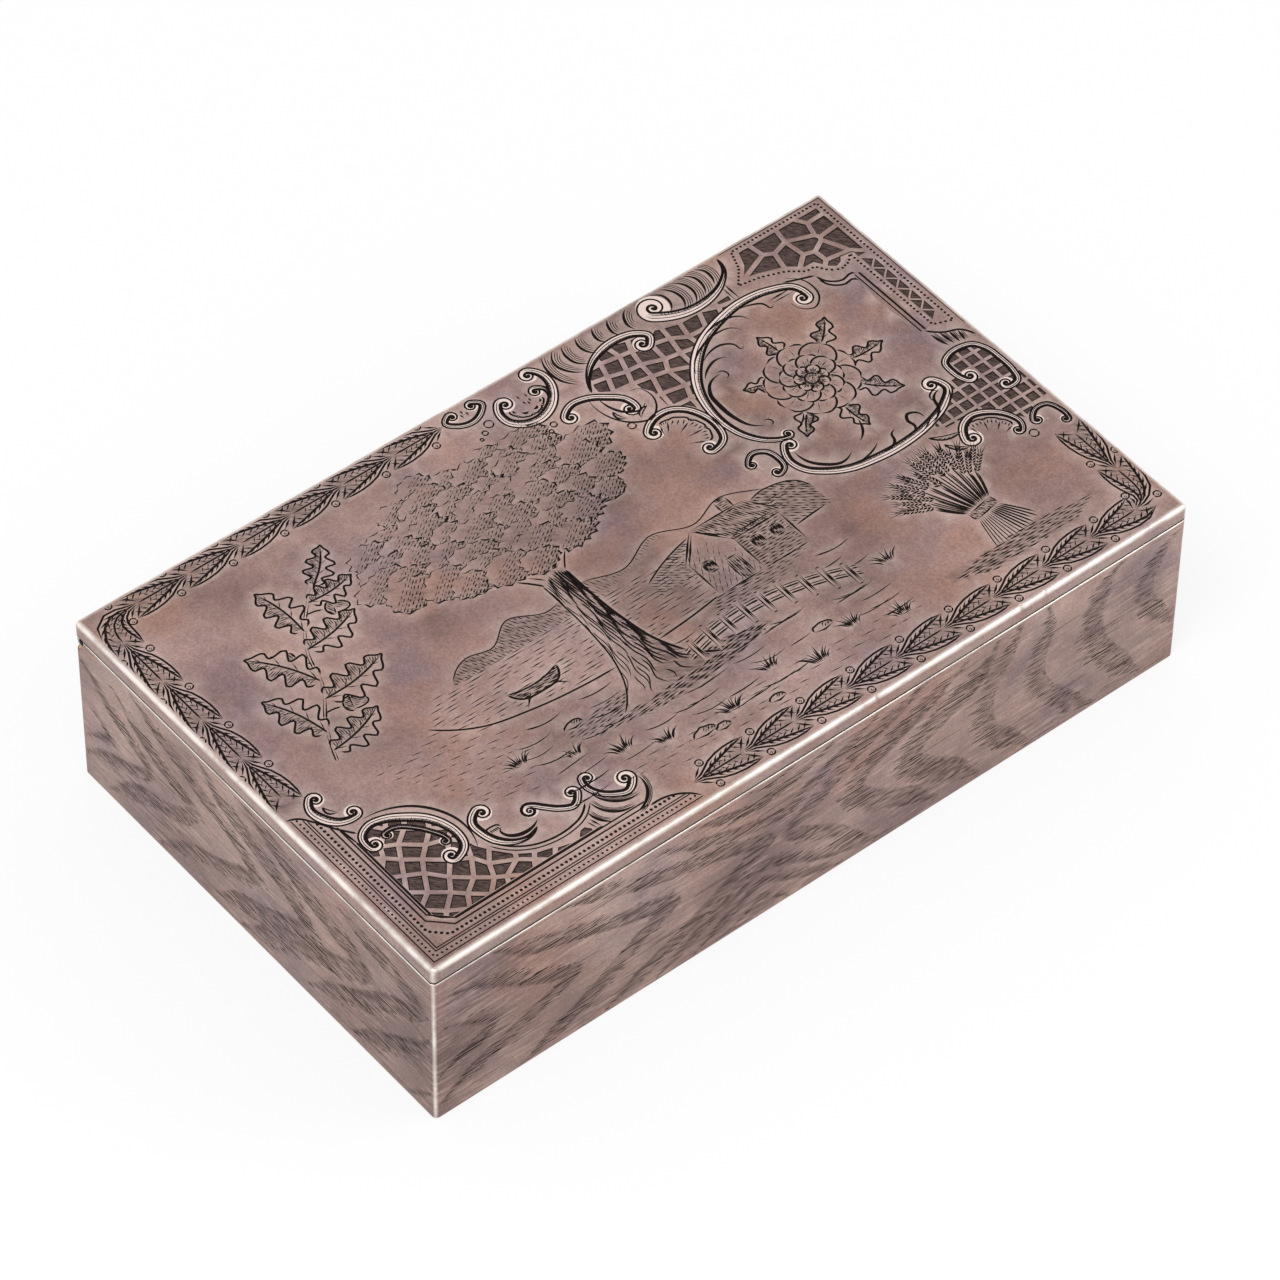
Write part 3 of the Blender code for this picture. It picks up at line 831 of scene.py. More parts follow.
def clipped(outline, cutter):
    # the part of an outline that lies inside a convex shape
    cutter = cutter if area(cutter) > 0 else cutter[::-1]
    for here, there in zip(cutter, np.roll(cutter, -1, 0)):
        if len(outline) < 3:
            return outline
        ahead = there - here
        over = ahead[0] * (outline[:, 1] - here[1]) - ahead[1] * (outline[:, 0] - here[0])
        kept = []
        for i in range(len(outline)):
            j = (i + 1) % len(outline)
            if over[i] >= 0:
                kept.append(outline[i])
            if (over[i] >= 0) != (over[j] >= 0):
                share = over[i] / (over[i] - over[j])
                kept.append(outline[i] + (outline[j] - outline[i]) * share)
        outline = np.array(kept)
    return outline


def sinkHole(sheet, hole, smallest, near=0.12):
    # a recess without points that lie too close together; nothing where it would be too small
    if len(hole) < 3 or abs(area(hole)) <= smallest:
        return
    keep = [hole[0]]
    for point in hole[1:]:
        if np.hypot(*(point - keep[-1])) > near:
            keep.append(point)
    if len(keep) > 2 and np.hypot(*(keep[0] - keep[-1])) < near:
        keep.pop()
    sheet.recess(np.array(keep), slope=0.2)


def cutTrellis(sheet, ground, pitch, lean, bar, uneven, seed):
    ground = np.array(ground)
    edge = inset(ground, bar * 0.35)
    draw = random.Random(seed)
    middle = ground.mean(0)
    reach = int(np.abs(ground - middle).max() * 1.5 / pitch) + 1
    across = heading(math.radians(lean)) * pitch
    down = leftOf(across)
    knots = {}
    for i in range(-reach, reach + 1):
        for j in range(-reach, reach + 1):
            shift = (draw.uniform(-uneven, uneven), draw.uniform(-uneven, uneven))
            knots[i, j] = middle + across * i + down * j + shift
    for (i, j), corner in knots.items():
        if (i + 1, j + 1) in knots:
            cell = np.array((corner, knots[i + 1, j], knots[i + 1, j + 1], knots[i, j + 1]))
            sinkHole(sheet, clipped(edge, inset(cell, bar / 2)), 0.35)


def cutPanel(sheet, p):
    outline = np.array(p["outline"])
    for start, end in zip(outline, np.roll(outline, -1, 0)):
        for place in spaced((start, end), p["beadPitch"]):
            sheet.dot(place, p["beadRadius"], 7)
    ground = np.array(p["ground"])
    draw = random.Random(8)
    left, right, top, bottom = p["seedField"]
    seeds = []
    while len(seeds) < p["seeds"]:
        seed = np.array((draw.uniform(left, right), draw.uniform(top, bottom)))
        apart = all(np.hypot(*(seed - other)) > p["seedGap"] for other in seeds)
        if apart and windings(seed[None], ground)[0]:
            seeds.append(seed)
    for seed in seeds:
        # each cell keeps what lies nearer to its own seed than to any other
        cell = ground
        for other in seeds:
            if other is not seed and len(cell) > 2:
                away = other - seed
                size = np.hypot(*away)
                face = seed + away * (0.5 - p["bar"] / 2 / size)
                square, far = leftOf(away) / size * 60, -away / size * 60
                beyond = (face + square, face - square, face - square + far, face + square + far)
                cell = clipped(cell, np.array(beyond))
        sinkHole(sheet, cell, 0.8)
    left, right, top, bottom = p["strip"]
    step = (bottom - top) / p["teeth"]
    for k in range(p["teeth"]):
        here = top + k * step
        for tooth in (((left, here), (right - 0.3, here + step * 0.42), (left, here + step * 0.84)),
                      ((right, here + step * 0.5), (right, here + step * 1.34),
                       (left + 0.3, here + step * 0.92))):
            if tooth[1][1] < bottom:
                sheet.recess(np.array(tooth), slope=0.1)
    offset = p["outerLine"]
    sheet.line(((170, offset), (boxLength - offset, offset), (boxLength - offset, 50)), 0.16)


def cutFrameLines(sheet, f):
    for points, gap in f["double"]:
        path = curve(points, 1) if len(points) > 2 else np.array(points)
        square = sides(path)
        for side in (-0.5, 0.5):
            sheet.line(path + square * side * gap, 0.4 if side < 0 else 0.26, (0.4, 0.4))
    for points in f["single"]:
        sheet.line(curve(points, 0.9) if len(points) > 2 else points, 0.44, (0.4, 0.8))


# The picture: an oak by a lake, a cottage, a spray of oak, a rosette and a sheaf of corn

class Draft:
    # strokes of a picture; what is drawn later hides what lies behind its outline
    def __init__(self):
        self.strokes, self.tones = [], []

    def line(self, path, width=0.28, ends=(0.6, 0.6)):
        path = np.array(path, float)
        self.strokes.append((path, np.array(np.broadcast_to(width, len(path)), float), ends))

    def stroke(self, start, finish, width, ends=(0.25, 0.6)):
        self.line(np.linspace(start, finish, 3), width, ends)

    def ring(self, outline, width, ends=(0.1, 0.1)):
        for start, finish in zip(outline, np.roll(outline, -1, 0)):
            self.stroke(start, finish, width, ends)

    def hide(self, outline):
        outline = np.array(outline, float)
        self.tones.append((inset(outline, -0.08), even(0)))
        low, high = outline.min(0), outline.max(0)
        kept = []
        for path, width, ends in self.strokes:
            if (path.max(0) < low).any() or (path.min(0) > high).any():
                kept.append((path, width, ends))
                continue
            fine = np.linspace(0, len(path) - 1, (len(path) - 1) * 4 + 1)
            free = windings(sample(path, fine), outline) == 0
            if free.all():
                kept.append((path, width, ends))
                continue
            for begin, end in stretches(free):
                if end - begin > 2:
                    part = np.linspace(fine[begin], fine[end - 1], max(int((end - begin) / 4) + 1, 3))
                    kept.append((sample(path, part), np.interp(part, np.arange(len(path)), width), ends))
        self.strokes = kept

    def engrave(self, sheet):
        for path, width, ends in self.strokes:
            sheet.line(path, width, ends)
        sheet.tones += self.tones


def shade(draft, outline, lean, pitch, tone, seed, width=(0.12, 0.34), reach=(1.2, 4), gap=0.3, wash=True):
    # rows of strokes at one lean inside an outline; tone says how dark places are, 0 to 1; with
    # a wash the metal between the strokes is darkened too
    outline = np.array(outline, float)
    if wash:
        draft.tones.append((inset(outline, 0.08), tone))
    draw = random.Random(seed)
    ahead = heading(math.radians(lean))
    square = leftOf(ahead)
    left, right = (outline @ ahead).min(), (outline @ ahead).max()
    row = (outline @ square).min() + pitch * 0.6
    while row < (outline @ square).max():
        at = np.arange(left, right, 0.3)
        places = ahead * at[:, None] + square * row
        dark = tone(places) * (windings(places, outline) != 0)
        for begin, end in stretches(dark > draw.uniform(0.16, 0.28)):
            here, there = at[begin], at[min(end, len(at) - 1)]
            while there - here > 0.5:
                long = min(draw.uniform(*reach), there - here)
                depth = np.interp(here + long / 2, at, dark)
                level = row + draw.uniform(-0.12, 0.12) * pitch
                draft.stroke(ahead * here + square * level, ahead * (here + long) + square * level,
                             width[0] + (width[1] - width[0]) * depth)
                here += long + draw.uniform(0.08, gap)
        row += pitch * draw.uniform(0.85, 1.15)


def even(depth):
    return lambda places: np.full(len(places), depth)


def falling(start, end, first=0.9, last=0.1):
    # a tone that goes from first to last between two places
    start, way = np.array(start), np.subtract(end, start)
    return lambda places: first + (last - first) * np.clip((places - start) @ way / (way @ way), 0, 1)


def boxed(left, top, right, bottom):
    return ((left, top), (right, top), (right, bottom), (left, bottom))


oakSpray = {
    "stem": ((19, 64), (23, 55), (29, 46), (32, 37), (38, 28.5), (45, 22.5)),
    # foot along the stem, side, length and lean away from it in degrees
    "leaves": ((3, 1, 15, 52), (8, -1, 16, 48), (17, 1, 17, 46), (22, -1, 17, 52),
               (31, 1, 15, 50), (36, -1, 15, 44), (44, 1, 12, 38), (48.5, -1, 12, 10)),
    "acorns": ((13, 1, 4.5), (27, -1, 5), (40.5, 1, 4.4)),
    "lobes": 4,
    "halfWidth": 0.27,
}


def oakLeaf(draft, root, tip, w):
    root, ahead = np.array(root), np.subtract(tip, root)
    long = np.hypot(*ahead)
    square = leftOf(ahead) / long
    t = np.linspace(0.04, 1, 34)
    swell = np.sin(math.pi * t ** 0.8) ** 0.75
    lobes = 0.74 + 0.34 * np.cos(2 * math.pi * (w["lobes"] * t - 0.35))
    half = long * w["halfWidth"] * swell * np.clip(lobes, 0.3, 1)
    bow = 0.06 * long * np.sin(math.pi * t)
    middle = root + ahead * t[:, None] + square * bow[:, None]
    edges = [middle + square * (side * half)[:, None] for side in (1, -1)]
    draft.hide(ribbon(*edges))
    draft.tones.append((inset(ribbon(middle, edges[1]), 0.08), even(0.55)))
    for edge in edges:
        draft.line(edge, 0.38, (0.8, 0.5))
    draft.line(np.concatenate((root[None], middle[::3])), 0.38, (0.4, 4))
    for k in range(w["lobes"]):
        foot = (k + 0.12) / w["lobes"]
        for side, edge in zip((1, -1), edges):
            here = int(foot * 33)
            there = min(int((foot + 0.62 / w["lobes"]) * 33), 33)
            draft.stroke(middle[here], middle[here] * 0.12 + edge[there] * 0.88, 0.26, (0.4, 1.6))
    for k in range(3, 32):
        edge = edges[1][k] * 0.9 + middle[k] * 0.1
        inward = middle[max(k - 2, 0)]
        draft.stroke(edge * 0.35 + inward * 0.65 if k % 3 else inward, edge, 0.2, (0.2, 0.6))


def acorn(draft, place, way, size):
    place, way = np.array(place), np.array(way) / np.hypot(*way)
    square, lean = leftOf(way), math.degrees(math.atan2(way[1], way[0]))
    turn = np.linspace(-math.pi / 2, math.pi / 2, 13)
    nut = (place + way * size * 0.25 + np.outer(np.cos(turn) ** 0.9, way) * size * 0.8
           + np.outer(np.sin(turn), square) * size * 0.36)
    turn = np.linspace(math.pi / 2, 3 * math.pi / 2, 11)
    cup = closed(place + way * size * 0.28 + np.outer(np.cos(turn), way) * size * 0.42
                 + np.outer(np.sin(turn), square) * size * 0.46)
    draft.hide(np.concatenate((nut, cup[:-1])))
    draft.line(nut, 0.32, (0.2, 0.2))
    draft.line(cup, 0.34, (0.2, 0.2))
    shade(draft, cup, lean + 45, 0.5, even(0.7), 5, (0.14, 0.3))
    shade(draft, nut, lean, 0.5, falling(place - square * size * 0.3, place + square * size * 0.3, 0.9, 0), 6,
          (0.12, 0.26))


def drawSpray(draft, w):
    stem = curve(w["stem"], 0.8)
    for offset, width in ((0.28, 0.4), (-0.28, 0.26)):
        draft.line(stem + sides(stem) * offset, width, (0.5, 6))
    for reach, side, size in w["acorns"]:
        foot, ahead = along(stem, reach), along(stem, reach + 0.5) - along(stem, reach)
        out = leftOf(ahead) * side + ahead * 0.7
        out /= np.hypot(*out)
        draft.line(curve((foot, foot + out * 2.2, foot + out * 3.6 + (0.3, 0.5)), 0.8), 0.34)
        acorn(draft, foot + out * 4.6 + (0.3, 0.6), out + (0.1, 0.35), size)
    for reach, side, size, lean in w["leaves"]:
        foot, ahead = along(stem, reach), along(stem, reach + 0.5) - along(stem, reach)
        turn = math.atan2(ahead[1], ahead[0]) + side * math.radians(lean)
        oakLeaf(draft, foot, foot + size * heading(turn), w)


landscape = {
    "farHills": ((50, 62), (56, 58.4), (62, 59.6), (69, 55.4), (77, 58.8), (86, 56.6), (97, 59.4),
                 (107, 55.6), (116, 58.8), (125, 56.2), (133, 59.6), (138, 62)),
    "nearHills": ((98, 66), (106, 62.6), (116, 60.6), (126, 61.6), (134, 60.2), (141, 62.8), (142.5, 66)),
    "lake": ((44, 62.5), (139, 62.5), (128, 72), (104, 77.5), (72, 79), (48, 74.5), (38, 68)),
    "shore": ((38, 68.5), (47, 74.8), (58, 77.6), (72, 79.2), (90, 79), (104, 77.8), (120, 74.6), (130, 72.6),
              (141, 71.6)),
    "crown": (84, 30.5, 31, 16.5),
    "clumps": 54,
    "clumpSize": (4, 6.2),
    "trunk": (((80.6, 46), (80.8, 58), (80.4, 70), (79, 79), (76, 86), (72, 90.4)),
              ((87.6, 46), (87.4, 58), (88.2, 70), (90, 79), (93.6, 85.6), (98.6, 89.4))),
    "boughs": (((82.5, 52), (76, 46), (68, 42)), ((86, 51), (92, 45), (99, 41.5)),
               ((84, 48), (84.5, 40), (82, 33))),
    "cottage": (108, 66, 12, 24, 11.5),
    "boat": (56.5, 71.5, 13),
    "fence": ((92, 90), (103, 87.6), (114, 87.6), (125, 89.8), (135, 93.6)),
    "groundLines": 8,
}


def drawClump(draft, centre, size, seed):
    # a clump of leaves: lit from the upper left, with a rim of small leaf tips
    draw = random.Random(seed)
    tips = draw.choice((11, 12, 13))
    turn = np.linspace(0, 2 * math.pi, tips * 3 + 1)
    saw = np.abs(((turn * tips / (2 * math.pi) + draw.random()) % 1) - 0.3)
    radius = size * (0.84 + 0.34 * saw + 0.07 * np.sin(turn * 3 + seed)
                     + 0.05 * np.sin(turn * 2 + seed * 2))
    rim = np.stack((centre[0] + radius * 1.15 * np.cos(turn), centre[1] + radius * 0.76 * np.sin(turn)), 1)
    draft.hide(rim)
    low = centre[1] + size * 0.62
    tone = falling((centre[0] + size * 0.4, low), (centre[0] - size * 0.5, centre[1] - size * 0.62), 1.1,
                   -0.1)
    shade(draft, rim, draw.uniform(-40, -26), 0.68, tone, seed, (0.10, 0.34), (0.7, 1.9), 0.45)
    for begin in range(0, len(rim) - 1, 3):
        part = rim[begin:begin + 4]
        lit = (part.mean(0) - centre) @ (0.6, 1) < -size * 0.3
        if not lit or draw.random() > 0.25:
            draft.line(part, 0.2 if lit else 0.34, (0.4, 0.5))


def drawTree(draft, w):
    left, right = (curve(side, 1) for side in w["trunk"])
    count = min(len(left), len(right))
    t = np.linspace(0, 1, count)
    left, right = (np.stack([np.interp(t, np.linspace(0, 1, len(side)), side[:, i]) for i in (0, 1)], 1)
                   for side in (left, right))
    draft.hide(ribbon(left, right))
    draft.tones.append((ribbon(left, right), falling((81, 60), (88, 60), 0, 1)))
    draft.line(left, 0.3, (0.2, 1.5))
    draft.line(right, 0.5, (0.2, 1.5))
    draw = random.Random(21)
    for k in range(17):
        share = (k + 0.5) / 17 + draw.uniform(-0.015, 0.015)
        deep = 0.16 + 0.26 * share
        begin = draw.randint(0, 6)
        while begin < count - 6:
            end = min(begin + draw.randint(6, 15), count - 1)
            lane = share + 0.028 * np.sin(np.arange(begin, end) * 0.7 + k)
            path = left[begin:end] * (1 - lane[:, None]) + right[begin:end] * lane[:, None]
            draft.line(path, deep, (0.8, 1.5))
            begin = end + (draw.randint(1, 5) if share < 0.6 else 1)
    for bough in w["boughs"]:
        path = curve(bough, 0.9)
        wide = np.linspace(1.7, 0.6, len(path))[:, None]
        edges = [path + sides(path) * side * wide for side in (1, -1)]
        draft.hide(ribbon(*edges))
        for edge, width in zip(edges, (0.3, 0.42)):
            draft.line(edge, width, (0.3, 1.5))
        draft.line(path, 0.28, (1, 2))
    middle, height, across, down = w["crown"]
    spots = []
    for k in range(w["clumps"]):
        turn = k * 2.39996
        reach = math.sqrt((k + 0.5) / w["clumps"])
        spots.append((middle + across * reach * math.cos(turn) * (1 + draw.uniform(-0.06, 0.06)),
                      height + down * reach * math.sin(turn) * (1 + draw.uniform(-0.06, 0.06))))
    for k, spot in enumerate(sorted(spots, key=lambda s: s[1])):
        drawClump(draft, spot, draw.uniform(*w["clumpSize"]), 100 + k)


def drawCottage(draft, w):
    left, top, gable, wide, high = w["cottage"]
    ridge = (left + gable / 2, top - 6.2)
    front = ((left, top), ridge, (left + gable, top), (left + gable, top + high), (left, top + high))
    wall = boxed(left + gable, top, left + wide, top + high)
    roof = (ridge, (left + wide - 3.6, top - 6.2), (left + wide + 1.6, top + 1.2), (left + gable, top + 1.2))
    chimney = boxed(left + wide - 9, top - 9.4, left + wide - 6, top - 5.6)
    for shape in (wall, roof, front, chimney):
        draft.hide(shape)
    for shape in (wall, front, roof, chimney):
        draft.ring(shape, 0.38, (0.2, 0.2))
    shade(draft, roof, 62, 0.62, even(0.75), 31, (0.14, 0.36), (1.6, 5), 0.3)
    shade(draft, wall, 0, 0.72, falling((left + gable, top), (left + wide, top + 6), 0.95, 0.55), 32,
          (0.12, 0.34), (1.5, 3))
    shade(draft, front, -60, 1.1, falling((left, top + high), (left + gable, top), 0.55, 0.1), 33, (0.1, 0.2))
    shade(draft, chimney, 0, 0.6, even(0.6), 34, (0.14, 0.3))
    for corner in ((left + 2, top + 2.4), (left + gable + 2.4, top + 3), (left + gable + 7.4, top + 3)):
        frame = boxed(corner[0], corner[1], corner[0] + 2.6, corner[1] + 3.2)
        draft.hide(frame)
        draft.ring(frame, 0.34)
        shade(draft, frame, 90, 0.42, even(1), 35, (0.2, 0.42), (1.5, 3))
    door = boxed(left + 6.6, top + 4.6, left + 9.8, top + high)
    draft.hide(door)
    draft.ring(door, 0.36)
    shade(draft, door, 90, 0.6, even(0.8), 36, (0.16, 0.36), (3, 6))
    eave = left - 1.4, top + 1.6
    for start, end in ((ridge, eave), ((ridge[0], ridge[1] + 0.7), (eave[0] + 0.8, eave[1] + 0.3))):
        draft.stroke(start, end, 0.42, (0.2, 0.4))


def drawLandscape(draft, w):
    far = curve(w["farHills"], 1.4)
    draft.line(far, 0.24, (2, 2))
    shade(draft, np.concatenate((far, ((138, 63), (50, 63)))), 64, 0.8,
          falling((90, 56), (92, 62.5), 0.8, 0.15), 11, (0.12, 0.26), (1, 3), 0.5)
    near = curve(w["nearHills"], 1.2)
    draft.hide(np.concatenate((near, ((142.5, 70), (98, 70)))))
    draft.line(near, 0.3, (1.5, 1.5))
    shade(draft, np.concatenate((near, ((142.5, 72), (98, 70)))), 38, 0.72,
          falling((118, 60), (116, 71), 0.9, 0.3), 12, (0.14, 0.34), (1.2, 3.4))
    ripple = wander(17)
    shade(draft, w["lake"], 0, 1, lambda p: 0.36 + 0.7 * ripple(p[:, 0] * 0.8, p[:, 1] * 2.2), 13,
          (0.12, 0.3), (2, 7), 1.2, False)
    shore = curve(w["shore"], 1.2)
    draft.line(shore, 0.36, (2, 2))
    for k in range(w["groundLines"]):
        draw = random.Random(50 + k)
        level = 81.5 + k * 3.0
        for _ in range(7):
            start = draw.uniform(46, 132)
            left, right = (start, level + draw.uniform(-1, 1)), (start + 9, level + 0.2)
            strand = (left, (start + 4, level + 0.7), right)
            draft.line(curve(strand, 1.5), draw.uniform(0.16, 0.26), (1.5, 2.5))
    # the shadow under the tree
    shadow = ((58, 88), (70, 85.5), (84, 85.8), (104, 87.4), (112, 89.6), (100, 92.6), (80, 93.6), (64, 91.6))
    shade(draft, shadow, -6, 0.7, falling((86, 88), (62, 90), 0.95, 0.3), 14, (0.14, 0.38), (1.5, 5))
    shade(draft, ((106, 77.5), (134, 77.5), (136, 82), (112, 83.6), (104, 80.6)), 2, 0.75,
          falling((116, 77), (118, 83), 0.8, 0.15), 15, (0.14, 0.32), (1.5, 4.5))
    drawCottage(draft, w)
    left, level, long = w["boat"]
    hull = curve(((left, level), (left + 1.6, level + 2.6), (left + long / 2, level + 3.5),
                  (left + long - 1.6, level + 2.6), (left + long, level - 0.4)), 0.7)
    rail = curve(((left, level), (left + long / 2, level + 1), (left + long, level - 0.4)), 0.9)
    draft.hide(ribbon(hull, rail))
    draft.line(hull, 0.42)
    draft.line(rail, 0.34)
    shade(draft, ribbon(hull, rail), 3, 0.5, even(0.85), 16, (0.14, 0.36), (2, 5))
    draft.stroke((left + 4.4, level + 2.2), (left + 1.2, level + 5.4), 0.4)
    draft.stroke((left + long - 4, level + 2.2), (left + long - 0.6, level + 5.2), 0.4)
    drawTree(draft, w)
    fence = curve(w["fence"], 0.5)
    for lift in (-4.6, -2.6):
        rail = [fence + (0, lift) + (0, half) for half in (-0.35, 0.35)]
        draft.hide(ribbon(*rail))
        draft.line(rail[0], 0.22)
        draft.line(rail[1], 0.34)
    for number, place in enumerate(spaced(fence, 5.2)):
        post = boxed(place[0] - 0.6, place[1] - 6.2 - 0.5 * (number % 2), place[0] + 0.6, place[1] + 0.5)
        draft.hide(post)
        draft.ring(post, 0.3)
        draft.stroke((place[0] + 0.25, place[1] - 5.6), (place[0] + 0.25, place[1]), 0.36)


def drawGrass(draft, place, size, seed):
    draw = random.Random(seed)
    for k in range(11):
        lean = (k - 5) * 0.17 + draw.uniform(-0.08, 0.08)
        long = size * draw.uniform(0.6, 1)
        foot = np.array((place[0] + (k - 5) * size * 0.07, place[1] + draw.uniform(-0.3, 0.3)))
        tip = foot + long * np.array((math.sin(lean), -math.cos(lean)))
        draft.line(curve((foot, (foot + tip) / 2 - (lean * 0.8, 0), tip), 0.9), 0.32, (0.3, 2.2))


def drawStone(draft, centre, size, seed):
    draw = random.Random(seed)
    turn = np.linspace(math.pi, 2 * math.pi, 9)
    rough = np.array([draw.uniform(0.88, 1.08) for _ in turn])
    rim = np.stack((centre[0] + size * rough * np.cos(turn), centre[1] + size * 0.62 * rough * np.sin(turn)),
                   1)
    foot = [(centre[0] + size * side, centre[1] + 0.6) for side in (0.7, -0.7)]
    draft.hide(np.concatenate((rim, foot)))
    draft.line(rim, 0.34, (0.4, 0.4))
    draft.line(((centre[0] - size, centre[1]), (centre[0], centre[1] + 0.5), (centre[0] + size, centre[1])),
               0.38)
    light = falling(centre + np.array((size, 0)), centre - np.array((size * 0.4, size * 0.4)), 1, 0)
    shade(draft, rim, -48, 0.55, light, seed, (0.14, 0.36), (0.8, 2.4))


foreground = {
    "grass": ((66, 98, 4.6), (74.5, 101.5, 3.8), (90, 103.5, 4.4), (103, 99.5, 4), (112.5, 104.5, 4.6),
              (124, 101, 4), (134, 105, 4.2), (47, 88, 4.4), (57.5, 92.8, 3.4), (141, 92, 4)),
    "stones": ((81.5, 104.6, 3), (85.6, 105.6, 2), (118.6, 97.6, 2.6), (99, 106.6, 2.2), (62, 86.4, 2.4)),
    # slanting strokes that tone the bare field: outline, lean and pitch
    "toning": ((((22, 72), (36, 69.5), (50, 73), (53, 84), (46, 96), (36, 92), (30, 82)), 8, 1.3),
               (((60, 104), (72, 100), (92, 100), (114, 102), (138, 103), (139, 107.6), (100, 108.4),
                 (68, 108)), 4, 1.4)),
}

rosette = {
    "centre": (162.5, 42),
    "rings": ((9, 11.2, 0), (9, 7.4, 0.35), (7, 4.2, 0.1)),
    "leaves": ((148.6, 35.6), (150.6, 54.6), (163.4, 60.2), (176.6, 56), (181.6, 42.8), (176.4, 29.6),
               (161, 25.2)),
    "eye": 1.6,
}


def drawRosette(draft, w):
    centre = np.array(w["centre"])
    for tip in w["leaves"]:
        ahead = np.array(tip) - centre
        oakLeaf(draft, centre + ahead * 0.42, tip, {"lobes": 3, "halfWidth": 0.25})
    for count, size, turn in w["rings"]:
        for k in range(count):
            angle = turn + k * 2 * math.pi / count
            ahead = heading(angle)
            square = leftOf(ahead)
            t = np.linspace(0, 1, 15)
            half = size * 0.36 * np.sin(math.pi * t ** 1.25) ** 0.6
            half[-1] = 0
            middle = centre + ahead * (size * (0.12 + 0.88 * t))[:, None]
            notch = -ahead * size * 0.07 * np.exp(-((t - 1) / 0.06) ** 2)[:, None]
            edges = [middle + notch + square * (side * half)[:, None] for side in (1, -1)]
            petal = ribbon(*edges)
            draft.hide(petal)
            light = falling(centre + ahead * size * 0.2, centre + ahead * size * 0.85, 1, 0)
            draft.tones.append((inset(petal, 0.08), light))
            for edge in edges:
                draft.line(edge, 0.38, (0.3, 0.3))
            for vein in np.linspace(-0.78, 0.78, 9):
                long = 0.86 - 0.28 * abs(vein) - 0.10 * (round(vein * 5) % 2)
                draft.line((centre + ahead * size * 0.3 + square * vein * size * 0.13,
                            centre + ahead * size * long * 0.7 + square * vein * size * 0.30,
                            centre + ahead * size * long + square * vein * size * 0.42), 0.32,
                           (0.4, size * 0.3))
    rim = polar(centre, w["eye"], np.linspace(0, 2 * math.pi, 15))
    draft.hide(rim)
    draft.line(rim, 0.34, (0.2, 0.2))
    shade(draft, rim, 45, 0.5, even(0.8), 3, (0.2, 0.3), (0.5, 1))
    shade(draft, rim, -45, 0.6, even(0.8), 4, (0.2, 0.3), (0.5, 1))


sheaf = {
    "tie": (166, 93),
    "lean": -0.18,
    "stalks": 30,
    "spread": 0.62,
    "earReach": (15.5, 20),
    "earSize": 5.2,
    "foot": 11,
}


def drawSheaf(draft, w):
    draw = random.Random(77)
    tie = np.array(w["tie"])

    def way(angle):
        return np.array((math.sin(angle), -math.cos(angle)))

    across = heading(w["lean"])
    shade(draft, ((148, 104.6), (158, 102.4), (176, 102.4), (187, 104), (180, 107.2), (156, 107.6)), 2, 0.7,
          falling((166, 103), (190, 105), 0.9, 0.3), 41, (0.14, 0.34), (1.5, 4.5))
    for k in range(0, w["stalks"], 2):
        share = (k + 1) / w["stalks"] * 2 - 1
        below = way(w["lean"] - share * 0.42) * w["foot"]
        foot = tie + across * share * 3.0 - below * (1 - 0.10 * abs(share) + draw.uniform(-0.05, 0.05))
        draft.line(curve((tie + across * share * 2.6, (tie + across * share * 2.9 + foot) / 2, foot), 1.6),
                   0.20 + 0.14 * (share > 0), (0.2, 0.3))
    order = sorted(range(w["stalks"]), key=lambda k: -abs(k + 0.5 - w["stalks"] / 2))
    for k in order:
        share = (k + 0.5) / w["stalks"] * 2 - 1
        angle = w["lean"] + share * w["spread"] + draw.uniform(-0.03, 0.03)
        reach = draw.uniform(*w["earReach"]) * (1 - 0.12 * share ** 2)
        start = tie + across * share * 2.6
        neck = tie + across * share * 2.0 + way(angle) * (reach - w["earSize"])
        droop = np.array((share * 1.6, abs(share) * 1.4))
        tip = neck + way(angle) * w["earSize"] + droop
        stem = curve((start, (start + neck) / 2 + across * share * 0.4, neck), 1.6)
        draft.line(stem, 0.26, (0.2, 0.4))
        ahead = (tip - neck) / np.hypot(*(tip - neck))
        square = leftOf(ahead)
        rim = np.array((neck, neck + ahead * 1.6 + square * 0.95, tip, neck + ahead * 1.6 - square * 0.95))
        draft.hide(rim)
        for n in range(6):
            place = neck + ahead * (n * w["earSize"] / 6.2)
            for side in (1, -1):
                draft.stroke(place, place + ahead * 1.15 + square * side * 0.72, 0.42, (0.3, 0.4))
        for side in (-0.9, 0, 0.9):
            draft.stroke(tip - ahead * 0.8, tip + ahead * 2.6 + square * side, 0.18, (0.2, 1.4))
    wide, high = across * 3.5, way(w["lean"]) * 1.1
    band = np.array((tie - wide + high, tie + wide + high, tie + wide - high, tie - wide - high))
    draft.hide(band)
    draft.ring(band, 0.34, (0.2, 0.2))
    shade(draft, band, math.degrees(w["lean"]) + 60, 0.62, even(0.75), 42, (0.16, 0.34), (0.8, 2.4))


